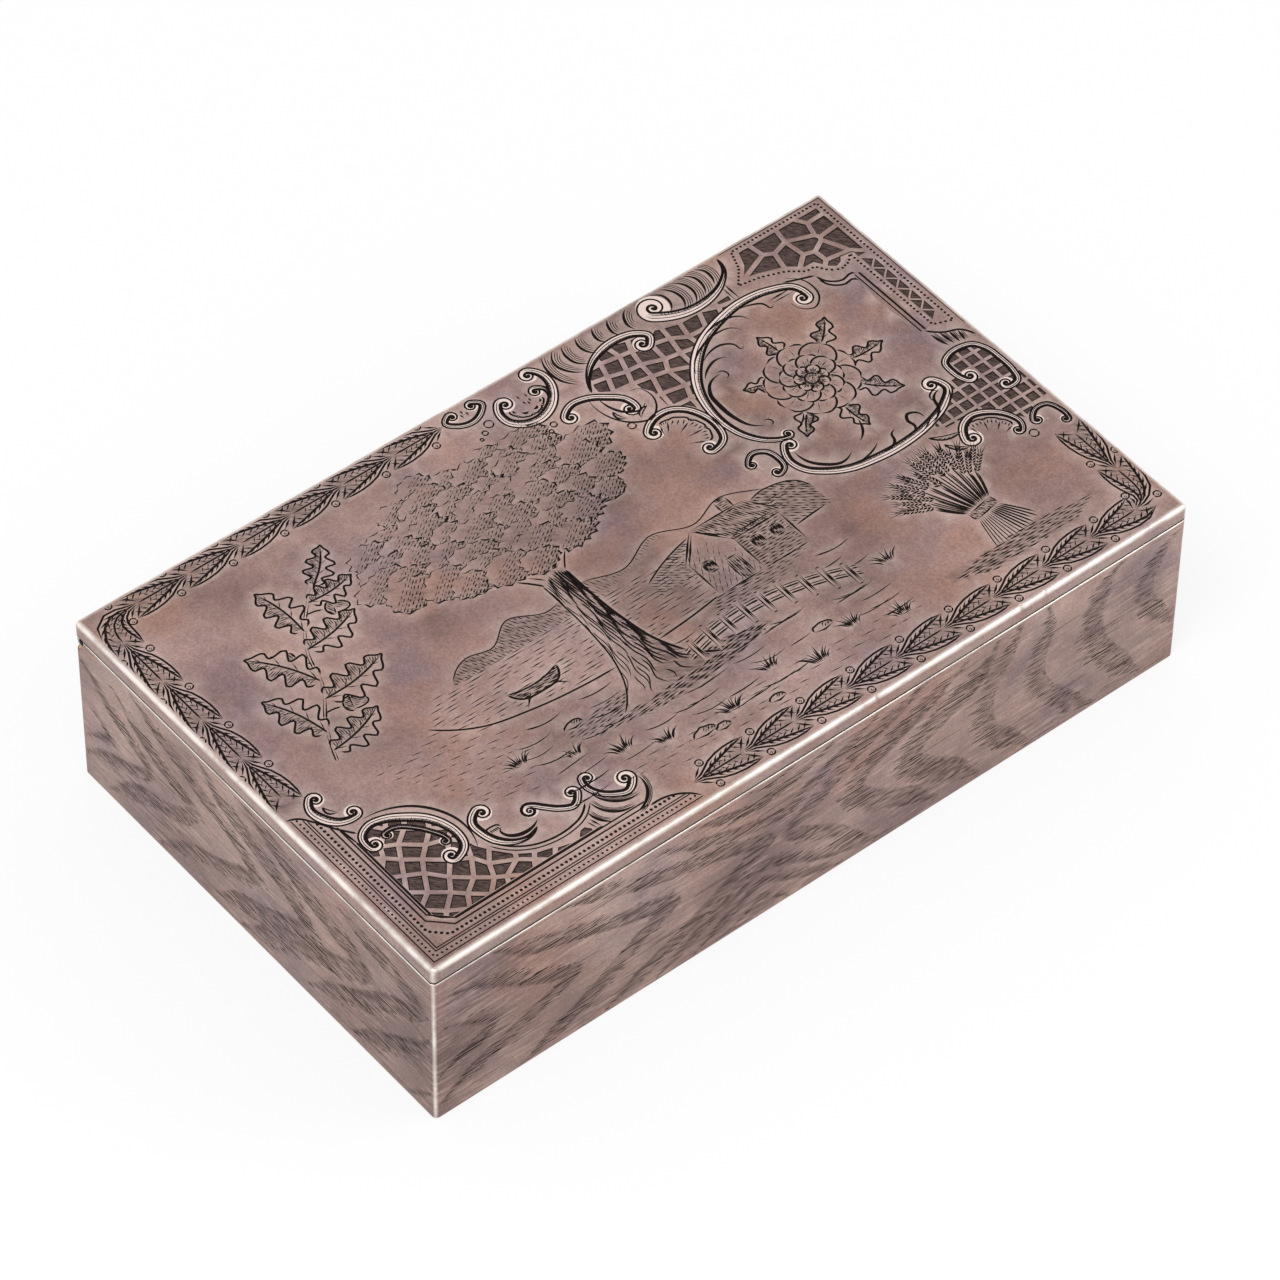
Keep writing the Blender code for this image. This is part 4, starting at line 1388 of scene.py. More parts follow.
def engravePicture(sheet):
    draft = Draft()
    drawLandscape(draft, landscape)
    for outline, lean, pitch in foreground["toning"]:
        shade(draft, outline, lean, pitch, lambda p: 0.30 + 0.5 * np.sin(p[:, 0] * 0.5 + p[:, 1] * 1.7), 60,
              (0.12, 0.2), (1.6, 5), 1.5, False)
    for number, place in enumerate(foreground["stones"]):
        drawStone(draft, place[:2], place[2], 70 + number)
    for number, place in enumerate(foreground["grass"]):
        drawGrass(draft, place[:2], place[2], 80 + number)
    drawSpray(draft, oakSpray)
    drawRosette(draft, rosette)
    drawSheaf(draft, sheaf)
    print(f"  picture of {len(draft.strokes)} strokes")
    draft.engrave(sheet)


def engraveLid(outline):
    sheet = Sheet(outline)
    for number, ground in enumerate(trellises.values()):
        cutTrellis(sheet, *ground, number)
    cutPanel(sheet, cornerPanel)
    for scroll in scrolls.values():
        cutScroll(sheet, scroll, scrollWork)
    for points, width in scrollWork["shadows"]:
        crescent(sheet, points, width, 0)
    for centre, radius in scrollWork["rings"]:
        sheet.circle(centre, radius, 0.28)
    cutFoliage(sheet, foliage)
    cutFrameLines(sheet, frameLines)
    ruleBorder(sheet, cornerBorder)
    for branch in ("backBranch", "frontBranch"):
        layGarland(sheet, garland[branch], garland)
    engravePicture(sheet)
    return sheet


# Wood grain on the sides, cut with short level strokes

woodGrain = {
    "pitch": 0.56,
    "width": 0.20,
    "strokeLength": (2.4, 8.5),
    "margin": 0.7,
    "looseLines": 0.012,  # thin long lines for each square millimetre
    # dark bands: places along the face and up it, and the width; each bends round its crisp side
    "longFace": (
        (((2, 27.5), (8, 25.5), (13, 22.5), (15.5, 20.5), (12, 18), (6, 15.5), (1, 13.5)), 3.2),
        (((4.5, 36.5), (12, 34.5), (20, 29.5), (29, 23.5), (36.5, 19.8), (30, 17), (19, 13), (8, 8.5),
          (1, 4.5)), 3.7),
        (((15.5, 41.5), (24, 36.5), (37, 31.5), (49, 26.8), (57, 24.2), (61.5, 22.6), (56, 19.2), (49, 15),
          (39, 8.5), (30, 4.2), (22, 0.8)), 4.6),
        (((32, 42), (44, 38.8), (52, 35), (62, 31.5), (72, 28.8), (80, 25.8), (86.5, 23), (81, 20.3),
          (76, 17), (69, 12.7), (60, 8.4), (51, 4.6), (44, 1.5)), 4.2),
        (((65, 42.5), (75, 38.4), (85, 36.3), (93, 37.6), (103, 41.8)), 2.8),
        (((58.5, 40.5), (67, 36), (78, 32), (87, 29.2), (91, 29), (97, 32.5), (107, 36.8), (115, 41.5)), 3.2),
        (((80, 42.3), (86, 40.6), (92, 42.3)), 1.8),
        (((57, 1.2), (64, 4.6), (71, 9), (78, 12), (85.5, 15.4), (94, 11.8), (101, 7.6), (110, 4.3),
          (118, 1.4)), 3.2),
        (((67, 1), (73, 4.2), (79, 7.6), (85, 10.8), (92, 7.5), (99, 4), (106, 0.9)), 2.6),
        (((76, 0.8), (80, 3), (85, 5.9), (89, 3.2), (93, 0.8)), 2),
        (((129, 41.8), (121, 38.8), (112, 34.8), (104, 29.5), (97, 24.8), (92, 22), (97, 17.7), (104, 13),
          (110, 7), (117, 1.5)), 4),
        (((139, 40), (133, 37.3), (124, 32.8), (117, 29.3), (111, 25.3), (109.5, 21.5), (113, 17),
          (119, 12.5), (126, 8.2), (133, 2.6)), 5.4),
        (((148, 41), (143.5, 34), (138, 30.5), (131, 27), (126, 23.8), (124.5, 20.3), (128, 16), (134, 11),
          (140, 6), (145, 1.5)), 6.2),
        (((154.5, 41.8), (152, 36), (148, 30.5), (145.5, 23.8), (145.5, 18.2), (147.5, 12.8), (152, 8.2),
          (156.5, 3.8), (160, 1)), 4.8),
        (((161.5, 41.8), (162.5, 35), (160, 28.2), (159.5, 22.7), (162, 16), (166.5, 10.6), (172, 5),
          (178, 0.8)), 4.8),
        (((183, 42), (178, 38.2), (175.5, 32.6), (175, 26), (176.5, 20.4), (179.5, 15), (184.5, 8.4),
          (190, 2.6)), 5.8),
        (((198, 40.5), (192, 34.8), (189.5, 28.2), (191, 22.7), (195, 17.2), (199, 12)), 4.8),
    ),
    "shortFace": (
        (((4.5, 23.3), (8.5, 21.5), (10.5, 19.6), (7, 17.2), (2, 14)), 3.6),
        (((0.5, 36.5), (7, 33.2), (12, 28.8), (19, 25.5), (25, 21.2), (21, 18.5), (14, 15), (7, 11.7),
          (0.5, 7.5)), 3.4),
        (((13, 37), (19, 32.6), (26, 28.6), (33, 26), (40, 22.8), (37, 19.5), (31, 15.5), (22, 12.6),
          (14.5, 7.3), (9, 2.8)), 4.2),
        (((19, 41), (25, 38), (34, 34.8), (41, 31.5), (50, 28.5), (56.5, 25.3), (60, 21.7), (55, 18),
          (48, 14), (40, 10.5), (33, 6), (26.5, 1.7)), 4.2),
        (((42, 41), (48, 36.6), (56, 33), (64, 30.2), (71.5, 27.4), (76.5, 24), (78, 21.2), (72, 17),
          (62, 11.7), (54, 8.2), (46.5, 4)), 5.6),
        (((57, 40.8), (66, 38), (78, 32.6), (86, 30), (94, 28), (96.5, 26), (93, 22.7), (86, 19), (78, 15),
          (71, 10.6), (62, 5), (55, 1.7)), 5.6),
        (((88, 38.4), (98, 36.2), (109, 34), (114.5, 31), (111, 27.6), (104, 23.5), (98, 18.3), (92, 13.8),
          (84, 8.4), (77.5, 4)), 4.8),
        (((118, 25), (113, 18.3), (106.5, 12.8), (100, 8.4), (92, 2.8)), 4.6),
        (((118, 7.5), (114, 4.5), (110, 1.5)), 3.6),
    ),
}


class Band:
    # one dark band of the grain, crisp along its hollow side and ragged along the other
    def __init__(self, points, width):
        path = curve(points, 0.6)
        self.out = sides(path) * -np.sign(area(path))
        ends = np.minimum(np.arange(len(path)), np.arange(len(path))[::-1]) * 0.6
        self.width = width * np.clip(ends / 9, 0.25, 1)
        self.crisp = path - self.out * self.width[:, None] / 2
        self.outline = ribbon(self.crisp, self.crisp + self.out * self.width[:, None])

    def tone(self, places):
        # 1 along the crisp side, falling across the band
        away = places[:, None] - self.crisp[None]
        nearest = (away ** 2).sum(2).argmin(1)
        offset = (away[np.arange(len(places)), nearest] * self.out[nearest]).sum(1)
        return 1 - 0.6 * np.clip(offset / self.width[nearest], 0, 1)

    def guides(self):
        # places where the tone has to change, on both sides of the crisp edge and along the other
        for offset in (-0.12, 0.12):
            yield self.crisp[::2] + self.out[::2] * offset
        for share in (0.5, 0.97, 1.1):
            yield self.crisp[::3] + self.out[::3] * (self.width[::3, None] * share)


def grainOf(name, flipped, g):
    # the bands of one face; the faces that the photo does not show have them turned upside down
    way, lift = ((1, -1), (0, wallTop)) if flipped else ((1, 1), (0, 0))
    return [Band(np.array(points) * way + lift, width) for points, width in g[name]]


def engraveGrain(sheet, width, high, bands, seed, g, tooNear):
    draw = random.Random(seed)
    margin = g["margin"]
    sheet.tones = [(band.outline, band.tone) for band in bands]
    for band in bands:
        for guide in band.guides():
            sheet.put(guide, 0)
    row = margin
    while row < high - margin:
        s = np.arange(margin, width - margin, 0.25)
        dark = sheet.toneAt(np.column_stack((s, np.full(len(s), row))))
        for begin, end in stretches(dark > 0):
            left, right = s[begin], s[min(end, len(s) - 1)]
            # the ends on the ragged side run on a little
            if dark[begin] < 0.7:
                left -= draw.uniform(0, 2.2) ** 1.3
            if dark[end - 1] < 0.7:
                right += draw.uniform(0, 2.2) ** 1.3
            left, right = max(left, margin), min(right, width - margin)
            while left < right - 0.6:
                reach = min(draw.uniform(*g["strokeLength"]), right - left)
                start = (left, row + draw.uniform(-0.08, 0.08))
                finish = (left + reach, start[1] + draw.uniform(-0.035, 0.02) * reach)
                clear = 0.8 < finish[1] < high - 0.5
                if clear and draw.random() > 0.12 and not tooNear(start, finish):
                    sheet.line((start, finish), g["width"] * draw.uniform(0.55, 1.3), (0.3, 0.6))
                left += reach + draw.uniform(0.05, 0.5)
        row += g["pitch"] * draw.uniform(0.85, 1.15)
    for _ in range(int(width * high * g["looseLines"])):
        long = draw.uniform(4, 13)
        start = (draw.uniform(margin, width - margin - long), draw.uniform(1.2, high - 1.2))
        finish = (start[0] + long, start[1] + draw.uniform(-0.03, 0.02) * long)
        if 0.8 < finish[1] < high - 0.6 and not tooNear(start, finish):
            sheet.line((start, finish), 0.085, (1, 1.5))


def wander(seed):
    # smooth, repeatable unevenness made of a few waves
    draw = random.Random(seed)
    waves = [(draw.uniform(0.03, 0.16), draw.uniform(0.05, 0.3), draw.uniform(0, 6.3), draw.uniform(0.4, 1))
             for _ in range(7)]
    scale = sum(w[3] for w in waves)
    return lambda s, z: sum(w[3] * np.sin(w[0] * s * 6 + w[1] * z * 4 + w[2]) for w in waves) / scale


# Shells: closed meshes gathered from flat sheets and strips

def addObject(name, data):
    made = bpy.data.objects.new(name, data)
    bpy.context.scene.collection.objects.link(made)
    return made


class Shell:
    def __init__(self, name, patches):
        # patches are the places of the bake's square: left, bottom and size of a millimetre
        self.name, self.patches = name, patches
        self.verts, self.faces, self.slots, self.smooth, self.uvs = [], [], [], [], []
        self.marks = {"worked": [], "shaded": [], "standing": []}

    def add(self, verts, faces, slots, planar, patch, smooth=False, marks=None):
        # planar says where each vertex lies in its patch, in mm; marks are read by the finishes
        first = len(self.verts)
        self.verts.extend(np.asarray(verts, float).tolist())
        for name, values in self.marks.items():
            count = len(faces) if name == "standing" else len(verts)
            values.extend(marks[name].tolist() if marks else [0] * count)
        planar = np.asarray(planar, float)
        for face, slot in zip(faces, np.broadcast_to(slots, len(faces)).tolist()):
            left, bottom, scale = self.patches[patch[slot] if isinstance(patch, dict) else patch]
            self.faces.append([first + int(i) for i in face])
            self.slots.append(slot)
            self.smooth.append(smooth)
            self.uvs.extend((left + planar[i][0] * scale, bottom + planar[i][1] * scale) for i in face)

    def strip(self, rows, slot, planar, patch, smooth=True):
        # quads between rows of points; each row lies below the last, seen from outside
        count = len(rows[0])
        faces = []
        for above in range(0, (len(rows) - 1) * count, count):
            for i in range(above, above + count - 1):
                faces.append((i, i + count, i + count + 1, i + 1))
        self.add(np.concatenate(rows), faces, slot, np.concatenate(planar), patch, smooth)

    def make(self, finishes, body, nodes):
        mesh = bpy.data.meshes.new(self.name)
        mesh.from_pydata((np.array(self.verts) * mm).tolist(), [], self.faces)
        mesh.polygons.foreach_set("material_index", self.slots)
        mesh.polygons.foreach_set("use_smooth", self.smooth)
        mesh.uv_layers.new(name="OFBake").data.foreach_set("uv", np.array(self.uvs).ravel())
        for name, values in self.marks.items():
            domain = "FACE" if name == "standing" else "POINT"
            mesh.attributes.new(name, "FLOAT", domain).data.foreach_set("value", values)
        shape = bmesh.new()
        shape.from_mesh(mesh)
        bmesh.ops.remove_doubles(shape, verts=shape.verts, dist=1e-7)
        shape.to_mesh(mesh)
        openEdges = sum(len(edge.link_faces) != 2 for edge in shape.edges)
        shape.free()
        piece = addObject(self.name, mesh)
        for finish in finishes:
            mesh.materials.append(finish)
        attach(piece, body)
        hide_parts(*nodes)
        triangles = sum(len(face.vertices) - 2 for face in mesh.polygons)
        print(f"{self.name}: {triangles} triangles, {openEdges} open edges")


def runs():
    # the four sides, counter-clockwise: first corner, way along, length
    x, y = boxLength / 2, boxDepth / 2
    corners = ((-x, -y), (x, -y), (x, y), (-x, y))
    ways = ((1, 0), (0, 1), (-1, 0), (0, -1))
    spans = (boxLength, boxDepth, boxLength, boxDepth)
    return [(np.array(c, float), np.array(w, float), s) for c, w, s in zip(corners, ways, spans)]


def columns(spots):
    # places round the box's plan at the given distances along each side, and round its corners:
    # place, way out, way along, side, distance along the side
    found = []
    for side, (corner, ahead, span) in enumerate(runs()):
        out = np.array((ahead[1], -ahead[0]))
        found += [(corner + ahead * spot, out, ahead, side, spot) for spot in spots[side]]
        centre = corner + (ahead - out) * cornerRadius + ahead * (span - 2 * cornerRadius)
        for turn in np.linspace(0, math.pi / 2, cornerSteps + 1)[1:-1]:
            way = out * math.cos(turn) + ahead * math.sin(turn)
            distance = span - cornerRadius + turn * cornerRadius
            found.append((centre + way * cornerRadius, way, ahead * 0, side, distance))
    return [np.array(column, float) for column in zip(*found)]


def evenSpots(step, extra=()):
    spots = [np.linspace(cornerRadius, span - cornerRadius, int(span / step) + 1) for _, _, span in runs()]
    spots[0] = np.array(sorted(set(spots[0]) | set(extra)))
    return spots


def quarter(radius, steps):
    # how far in and how far down, round a quarter of an edge from the top to the side
    turn = np.linspace(0, math.pi / 2, steps + 1)
    return [(radius * (1 - math.sin(a)), radius * (1 - math.cos(a))) for a in turn]


def closed(row):
    return np.concatenate((row, row[:1]))


silverFace, cutAndSeamShade, mattedGround, giltFace, rimFace = range(5)
sheetSlots = np.array((silverFace, cutAndSeamShade, mattedGround, silverFace, cutAndSeamShade))  # by kind

lidShape = {
    "edgeRadius": 1.1,
    "lip": 0.2,
    "edgeSteps": 6,
    "columnStep": 3,
    # along the front edge: place, half width and depth of each small dent
    "nicks": ((115, 0.35, 0.30), (154.2, 0.45, 0.36), (160.6, 0.35, 0.26), (1.5, 0.4, 0.25)),
    "patches": {"top": (0.01, 0.405, 0.0049), "cuts": (0.52, 0.01, 0.0023),
                "rims": (0.01, 0.295, 0.0049), "inside": (0.01, 0.01, 0.0022)},
}


def makeLid(finishes, shape):
    nearNicks = [nick[0] + offset for nick in shape["nicks"] for offset in np.linspace(-0.9, 0.9, 7)]
    nearNicks = [spot for spot in nearNicks if cornerRadius < spot < boxLength - cornerRadius]
    place, out, _, side, distance = columns(evenSpots(shape["columnStep"], nearNicks))
    lip = shape["lip"]
    profile = [(inward, boxTop - down) for inward, down in quarter(shape["edgeRadius"], shape["edgeSteps"])]
    edgeRows = len(profile)
    profile += [(down, seamHeight + inward) for inward, down in quarter(lip, 2)]
    outerRows = len(profile)
    profile += [(wallSheet - lip, seamHeight), (wallSheet, seamHeight + lip), (wallSheet, lidUnderside)]
    rows, planar, travelled = [], [], 0.0
    lane = 5.4  # the four sides lie one above the other in the bake's square
    for k, (inward, height) in enumerate(profile):
        ring = np.column_stack((place - out * inward, np.full(len(place), height)))
        bite = math.sin(math.pi * k / edgeRows) if k < edgeRows else 0.0
        for spot, reach, depth in shape["nicks"]:
            pull = np.where(side == 0, np.exp(-((distance - spot) / reach) ** 2), 0) * depth * bite
            ring -= np.column_stack((out * pull[:, None], pull))
        if k:
            travelled += math.hypot(inward - profile[k - 1][0], height - profile[k - 1][1])
        rows.append(closed(ring))
        planar.append(np.column_stack((np.append(distance, boxDepth),
                                       np.append(side, 3) * lane + min(travelled, lane - 0.2))))
    shell = Shell("lid_shell", shape["patches"])
    shell.strip(rows[:outerRows - 2], rimFace, planar[:outerRows - 2], "rims")
    # the lip under the lid's edge gets the dark cut finish as painted shade in the joint
    shell.strip(rows[outerRows - 3:outerRows], cutAndSeamShade, planar[outerRows - 3:outerRows], "rims")
    shell.strip(rows[outerRows - 1:], giltFace, planar[outerRows - 1:], "rims")

    top = rows[0][:-1]
    sheet = engraveLid(np.column_stack((top[:, 0] + boxLength / 2, boxDepth / 2 - top[:, 1])))
    corners, depth, faces, kinds, marks = sheet.build()
    verts = np.column_stack((corners[:, 0] - boxLength / 2, boxDepth / 2 - corners[:, 1], boxTop - depth))
    flat = np.column_stack((corners[:, 0], boxDepth - corners[:, 1]))
    shell.add(verts, faces[:, ::-1], sheetSlots[kinds], flat,
              {silverFace: "top", cutAndSeamShade: "cuts", mattedGround: "cuts"}, False, marks)

    under = np.array([ring for ring, spot in zip(rows[-1][:-1], distance)
                      if spot <= boxLength - cornerRadius])
    shell.add(under, [list(range(len(under)))[::-1]], giltFace,
              under[:, :2] + (boxLength / 2, boxDepth / 2), "inside")
    shell.make(finishes, "lid", ("lid_plate", "lid_rim_front", "lid_rim_right", "lid_rim_back",
                                 "lid_rim_left"))


caseShape = {
    "lip": 0.25,
    "footRadius": 0.5,
    "columnStep": 4,
    "cornerLevels": 9,
    "notchSteps": 10,
    "notchRoom": (5.2, 0.9),  # engraved strokes stay out of this much along the wall, and below its step
    "patches": {
        "side0": (0.01, 0.78, 0.0049), "side2": (0.01, 0.565, 0.0049),
        "side1": (0.01, 0.38, 0.004), "side3": (0.505, 0.38, 0.004),
        "cuts0": (0.5, 0.27, 0.0023), "cuts2": (0.5, 0.16, 0.0023),
        "cuts1": (0.5, 0.05, 0.0023), "cuts3": (0.78, 0.05, 0.0017),
        "floor": (0.01, 0.01, 0.0013), "underside": (0.01, 0.19, 0.0013),
        "inner0": (0.29, 0.01, 0.0009), "inner1": (0.29, 0.07, 0.0009),
        "inner2": (0.29, 0.13, 0.0009), "inner3": (0.29, 0.19, 0.0009),
    },
}


def wallTops(shape, spots):
    # the top line of each wall as (distance, height); the side walls are notched for the barrel
    radius = hingeZ - backTop
    start = -math.degrees(math.asin((wallTop - hingeZ) / radius)) + 180
    turn = np.radians(np.linspace(start, 270, shape["notchSteps"] + 1))
    notch = np.stack((hingeY + boxDepth / 2 + radius * np.cos(turn), hingeZ + radius * np.sin(turn)), 1)
    flat = [np.column_stack((s, np.full(len(s), wallTop))) for s in spots]
    right = flat[1][flat[1][:, 0] < notch[0, 0] - 0.5]
    right = np.concatenate((right, notch, ((boxDepth - cornerRadius, backTop),)))
    left = right[::-1] * (-1, 1) + (boxDepth, 0)
    return [flat[0], right, flat[2] * (1, 0) + (0, backTop), left]


def downwards(top):
    # ways into the wall, square to its top line and meeting at its corners
    step = np.diff(top, axis=0)
    square = np.stack((step[:, 1], -step[:, 0]), 1) / np.hypot(*step.T)[:, None]
    square = np.concatenate((((0, -1),), square, ((0, -1),)))
    both = square[:-1] + square[1:]
    both[0], both[-1] = (0, -2), (0, -2)
    return both * 2 / np.maximum((both ** 2).sum(1), 1.2)[:, None]


def notchGuard(k, along, below):
    # tells whether a stroke comes too near the notch at the back end of a side wall
    def tooNear(start, finish):
        back = finish[0] > boxDepth - along if k == 1 else start[0] < along
        return k in (1, 3) and back and max(start[1], finish[1]) > backTop - below
    return tooNear


def oneSide(rows, side, distance, k):
    # the part of each row that lies on side k, up to the next one's first place
    mine, gap = np.flatnonzero(side == k), 0.3
    across = np.append(distance[mine], distance[mine[-1]] + gap)
    mine = np.append(mine, (mine[-1] + 1) % len(side))
    return [row[mine] for row in rows], across


def makeCase(finishes, shape):
    shell = Shell("case_shell", shape["patches"])
    lip, foot = shape["lip"], shape["footRadius"]
    spots = evenSpots(shape["columnStep"])
    tops = wallTops(shape, spots)
    topSpots = [top[:, 0] for top in tops]
    place, out, ahead, side, distance = columns(topSpots)
    height, into = [], []
    for k, top in enumerate(tops):
        height += top[:, 1].tolist() + [top[-1, 1]] * (cornerSteps - 1)
        into += downwards(top).tolist() + [(0, -1)] * (cornerSteps - 1)
    height, into = np.array(height), np.array(into)

    # the rounded top edge, then across the thickness of the wall
    profile = [(inward, down) for down, inward in quarter(lip, 3)] + [(wallSheet, 0)]
    rows = []
    for inward, down in profile:
        plan = place - out * inward + ahead * (into[:, 0] * down)[:, None]
        rows.append(np.column_stack((plan, height + into[:, 1] * down)))
    for k in range(4):
        picked, across = oneSide(rows[::-1], side, distance, k)
        lanes = [np.column_stack((across, picked[0][:, 2] + up)) for up in (1.6, 0.5, 0.3, 0.15, 0)]
        # the topmost facets of the rounded edge, under the lid, get the dark cut finish as painted shade in
        # the joint
        shell.strip(picked[1:3], cutAndSeamShade, lanes[1:3], f"side{k}")
        shell.strip(picked[2:], silverFace, lanes[2:], f"side{k}")
        shell.strip(picked[:2], giltFace, lanes[:2], f"side{k}")

    # the foot's rounded edge and the underside
    low, lowOut, _, lowSide, lowDistance = columns(spots)
    feet = [np.column_stack((low - lowOut * down, np.full(len(low), inward)))
            for inward, down in quarter(foot, 3)]
    for k in range(4):
        picked, across = oneSide(feet, lowSide, lowDistance, k)
        lanes = [np.column_stack((across, np.full(len(across), level))) for level in (0.5, 0.2, 0, -0.2)]
        shell.strip(picked, silverFace, lanes, f"side{k}")
    corners, _, faces, _, _ = Sheet(feet[-1][:, :2]).build()
    base = np.column_stack((corners, np.full(len(corners), feet[-1][0, 2])))
    shell.add(base, faces[:, ::-1], silverFace, corners + (boxLength / 2, boxDepth / 2), "underside")

    # the four engraved faces and the upright corners between them
    for k, (corner, way, span) in enumerate(runs()):
        outward = np.array((way[1], -way[0]))
        topLine = tops[k] + downwards(tops[k]) * lip
        levels = [np.linspace(z, foot, shape["cornerLevels"]) for z in (topLine[0, 1], topLine[-1, 1])]
        bottom = [(s, foot) for s in spots[k]]
        outline = ([(spots[k][0], z) for z in levels[0][1:][::-1]] + [tuple(point) for point in topLine]
                   + [(spots[k][-1], z) for z in levels[1][1:-1]] + bottom[::-1][:-1])
        sheet = Sheet(outline[::-1])
        high = backTop if k == 2 else wallTop
        bands = grainOf(("longFace", "shortFace")[k % 2], k in (1, 2), woodGrain)
        engraveGrain(sheet, span, high, bands, 40 + k, woodGrain, notchGuard(k, *shape["notchRoom"]))
        corners, depth, faces, kinds, marks = sheet.build()
        plan = corner + way * corners[:, :1] - outward * depth[:, None]
        verts = np.column_stack((plan, corners[:, 1]))
        shell.add(verts, faces, sheetSlots[kinds], corners,
                  {silverFace: f"side{k}", cutAndSeamShade: f"cuts{k}", mattedGround: f"cuts{k}"}, False, marks)
        turns = np.linspace(0, math.pi / 2, cornerSteps + 1)
        pivot = corner + way * (span - cornerRadius) - outward * cornerRadius
        ways = [outward * math.cos(a) + way * math.sin(a) for a in turns]
        upright = [[(*(pivot + w * cornerRadius), z) for w in ways] for z in levels[1]]
        lanes = [[(span - cornerRadius + a * cornerRadius, z) for a in turns] for z in levels[1]]
        shell.strip(upright, silverFace, lanes, f"side{k}")
        # the wall's inner face, down to the floor
        inner = rows[-1][side == k][:len(tops[k])]
        ends = (spots[k][-1], spots[k][0])
        face = np.concatenate((inner, [(*(corner + way * s - outward * wallSheet), floorTop) for s in ends]))
        flat = np.column_stack((np.concatenate((tops[k][:, 0], ends)), face[:, 2]))
        shell.add(face, [list(range(len(face)))], giltFace, flat, f"inner{k}")
    x, y = boxLength / 2 - wallSheet, boxDepth / 2 - wallSheet
    floor = np.array(((-x, -y, floorTop), (x, -y, floorTop), (x, y, floorTop), (-x, y, floorTop)))
    shell.add(floor, [(0, 1, 2, 3)], giltFace, floor[:, :2] + (boxLength / 2, boxDepth / 2), "floor")
    shell.make(finishes, "case", ("base_plate", "front_wall", "right_wall", "back_wall", "left_wall"))


# Finishes

def plug(tree, socket, value):
    # puts a number, a colour or the output of another node into a socket
    if isinstance(value, bpy.types.NodeSocket):
        tree.links.new(value, socket)
    elif isinstance(value, tuple) and len(value) == 3 and len(socket.default_value) == 4:
        socket.default_value = (*value, 1)
    else:
        socket.default_value = value


def addNode(tree, kind, output, inputs):
    made = tree.nodes.new("ShaderNode" + kind)
    for name, value in inputs.items():
        plug(tree, made.inputs[name], value)
    return made.outputs[output]


class Finish:
    # one material, built up node by node from the object's own coordinates in metres
    def __init__(self, name, metallic, roughness):
        self.material = bpy.data.materials.new(name)
        self.material.use_nodes = True
        self.tree = self.material.node_tree
        self.shader = self.tree.nodes["Principled BSDF"]
        self.use("Metallic", metallic)
        self.use("Roughness", roughness)
        self.place = self.node("TexCoord", "Object", {})

    def node(self, kind, output, inputs):
        return addNode(self.tree, kind, output, inputs)

    def use(self, name, value):
        # what one of the shader's own sockets gets
        plug(self.tree, self.shader.inputs[name], value)

    def noise(self, size, detail=3, rough=0.5, stretch=(1, 1, 1), turn=(0, 0, 0)):
        # size is the spacing of the pattern, in mm; it is turned first and then stretched
        place = self.node("Mapping", "Vector", {"Vector": self.place, "Rotation": turn})
        place = self.node("Mapping", "Vector", {"Vector": place, "Scale": stretch})
        return self.node("TexNoise", "Fac", {"Vector": place, "Scale": 1 / (size * mm), "Detail": detail,
                                             "Roughness": rough})

    def fit(self, value, low, high, out=(0, 1)):
        # low up to high becomes out; past the ends it stays level
        return self.node("MapRange", "Result", {"Value": value, "From Min": low, "From Max": high,
                                                "To Min": out[0], "To Max": out[1]})

    def maths(self, operation, first, second):
        result = self.node("Math", "Value", {0: first, 1: second})
        result.node.operation = operation
        return result

    def times(self, first, second):
        return self.maths("MULTIPLY", first, second)

    def mix(self, factor, first, second, blend="MIX"):
        # inputs 6 and 7 and output 2 are a mix node's colours
        result = self.node("Mix", 2, {"Factor": factor, 6: first, 7: second})
        result.node.data_type, result.node.blend_type = "RGBA", blend
        return result

    def ramp(self, value, stops):
        result = self.node("ValToRGB", "Color", {"Fac": value})
        elements = result.node.color_ramp.elements
        while len(elements) < len(stops):
            elements.new(0.5)
        for element, (position, colour) in zip(elements, stops):
            element.position, element.color = position, (*colour, 1)
        return result

    def grey(self, value):
        return self.node("CombineColor", "Color", {"Red": value, "Green": value, "Blue": value})

    def attribute(self, name):
        result = self.node("Attribute", "Fac", {})
        result.node.attribute_name = name
        return result

    def bump(self, height, depth, strength):
        self.use("Normal", self.node("Bump", "Normal", {"Strength": strength, "Distance": depth * mm,
                                                        "Height": height}))

    def axis(self, name):
        return self.node("SeparateXYZ", name, {"Vector": self.place})

    def nearWalls(self, inwards, full, reach):
        # 1 up to full from the box's sides moved inwards, 0 further away than reach; once for each pair
        near = []
        for axis, half in (("X", boxLength / 2), ("Y", boxDepth / 2)):
            away = self.maths("ABSOLUTE", self.axis(axis), 0)
            near.append(self.fit(away, (half - inwards - reach) * mm, (half - inwards - full) * mm))
        return near

    def nearEdges(self, levels, full, reach, levelShare):
        # the same for the box's edges; levels are the heights of level ones
        close = self.nearWalls(0, full, reach)
        best = self.maths("MINIMUM", *close)
        for level in levels:
            away = self.maths("ABSOLUTE", self.maths("SUBTRACT", self.axis("Z"), level * mm), 0)
            here = self.fit(away, reach * levelShare * mm, full * levelShare * mm)
            for side in close:
                best = self.maths("MAXIMUM", best, self.maths("MINIMUM", here, side))
        return best


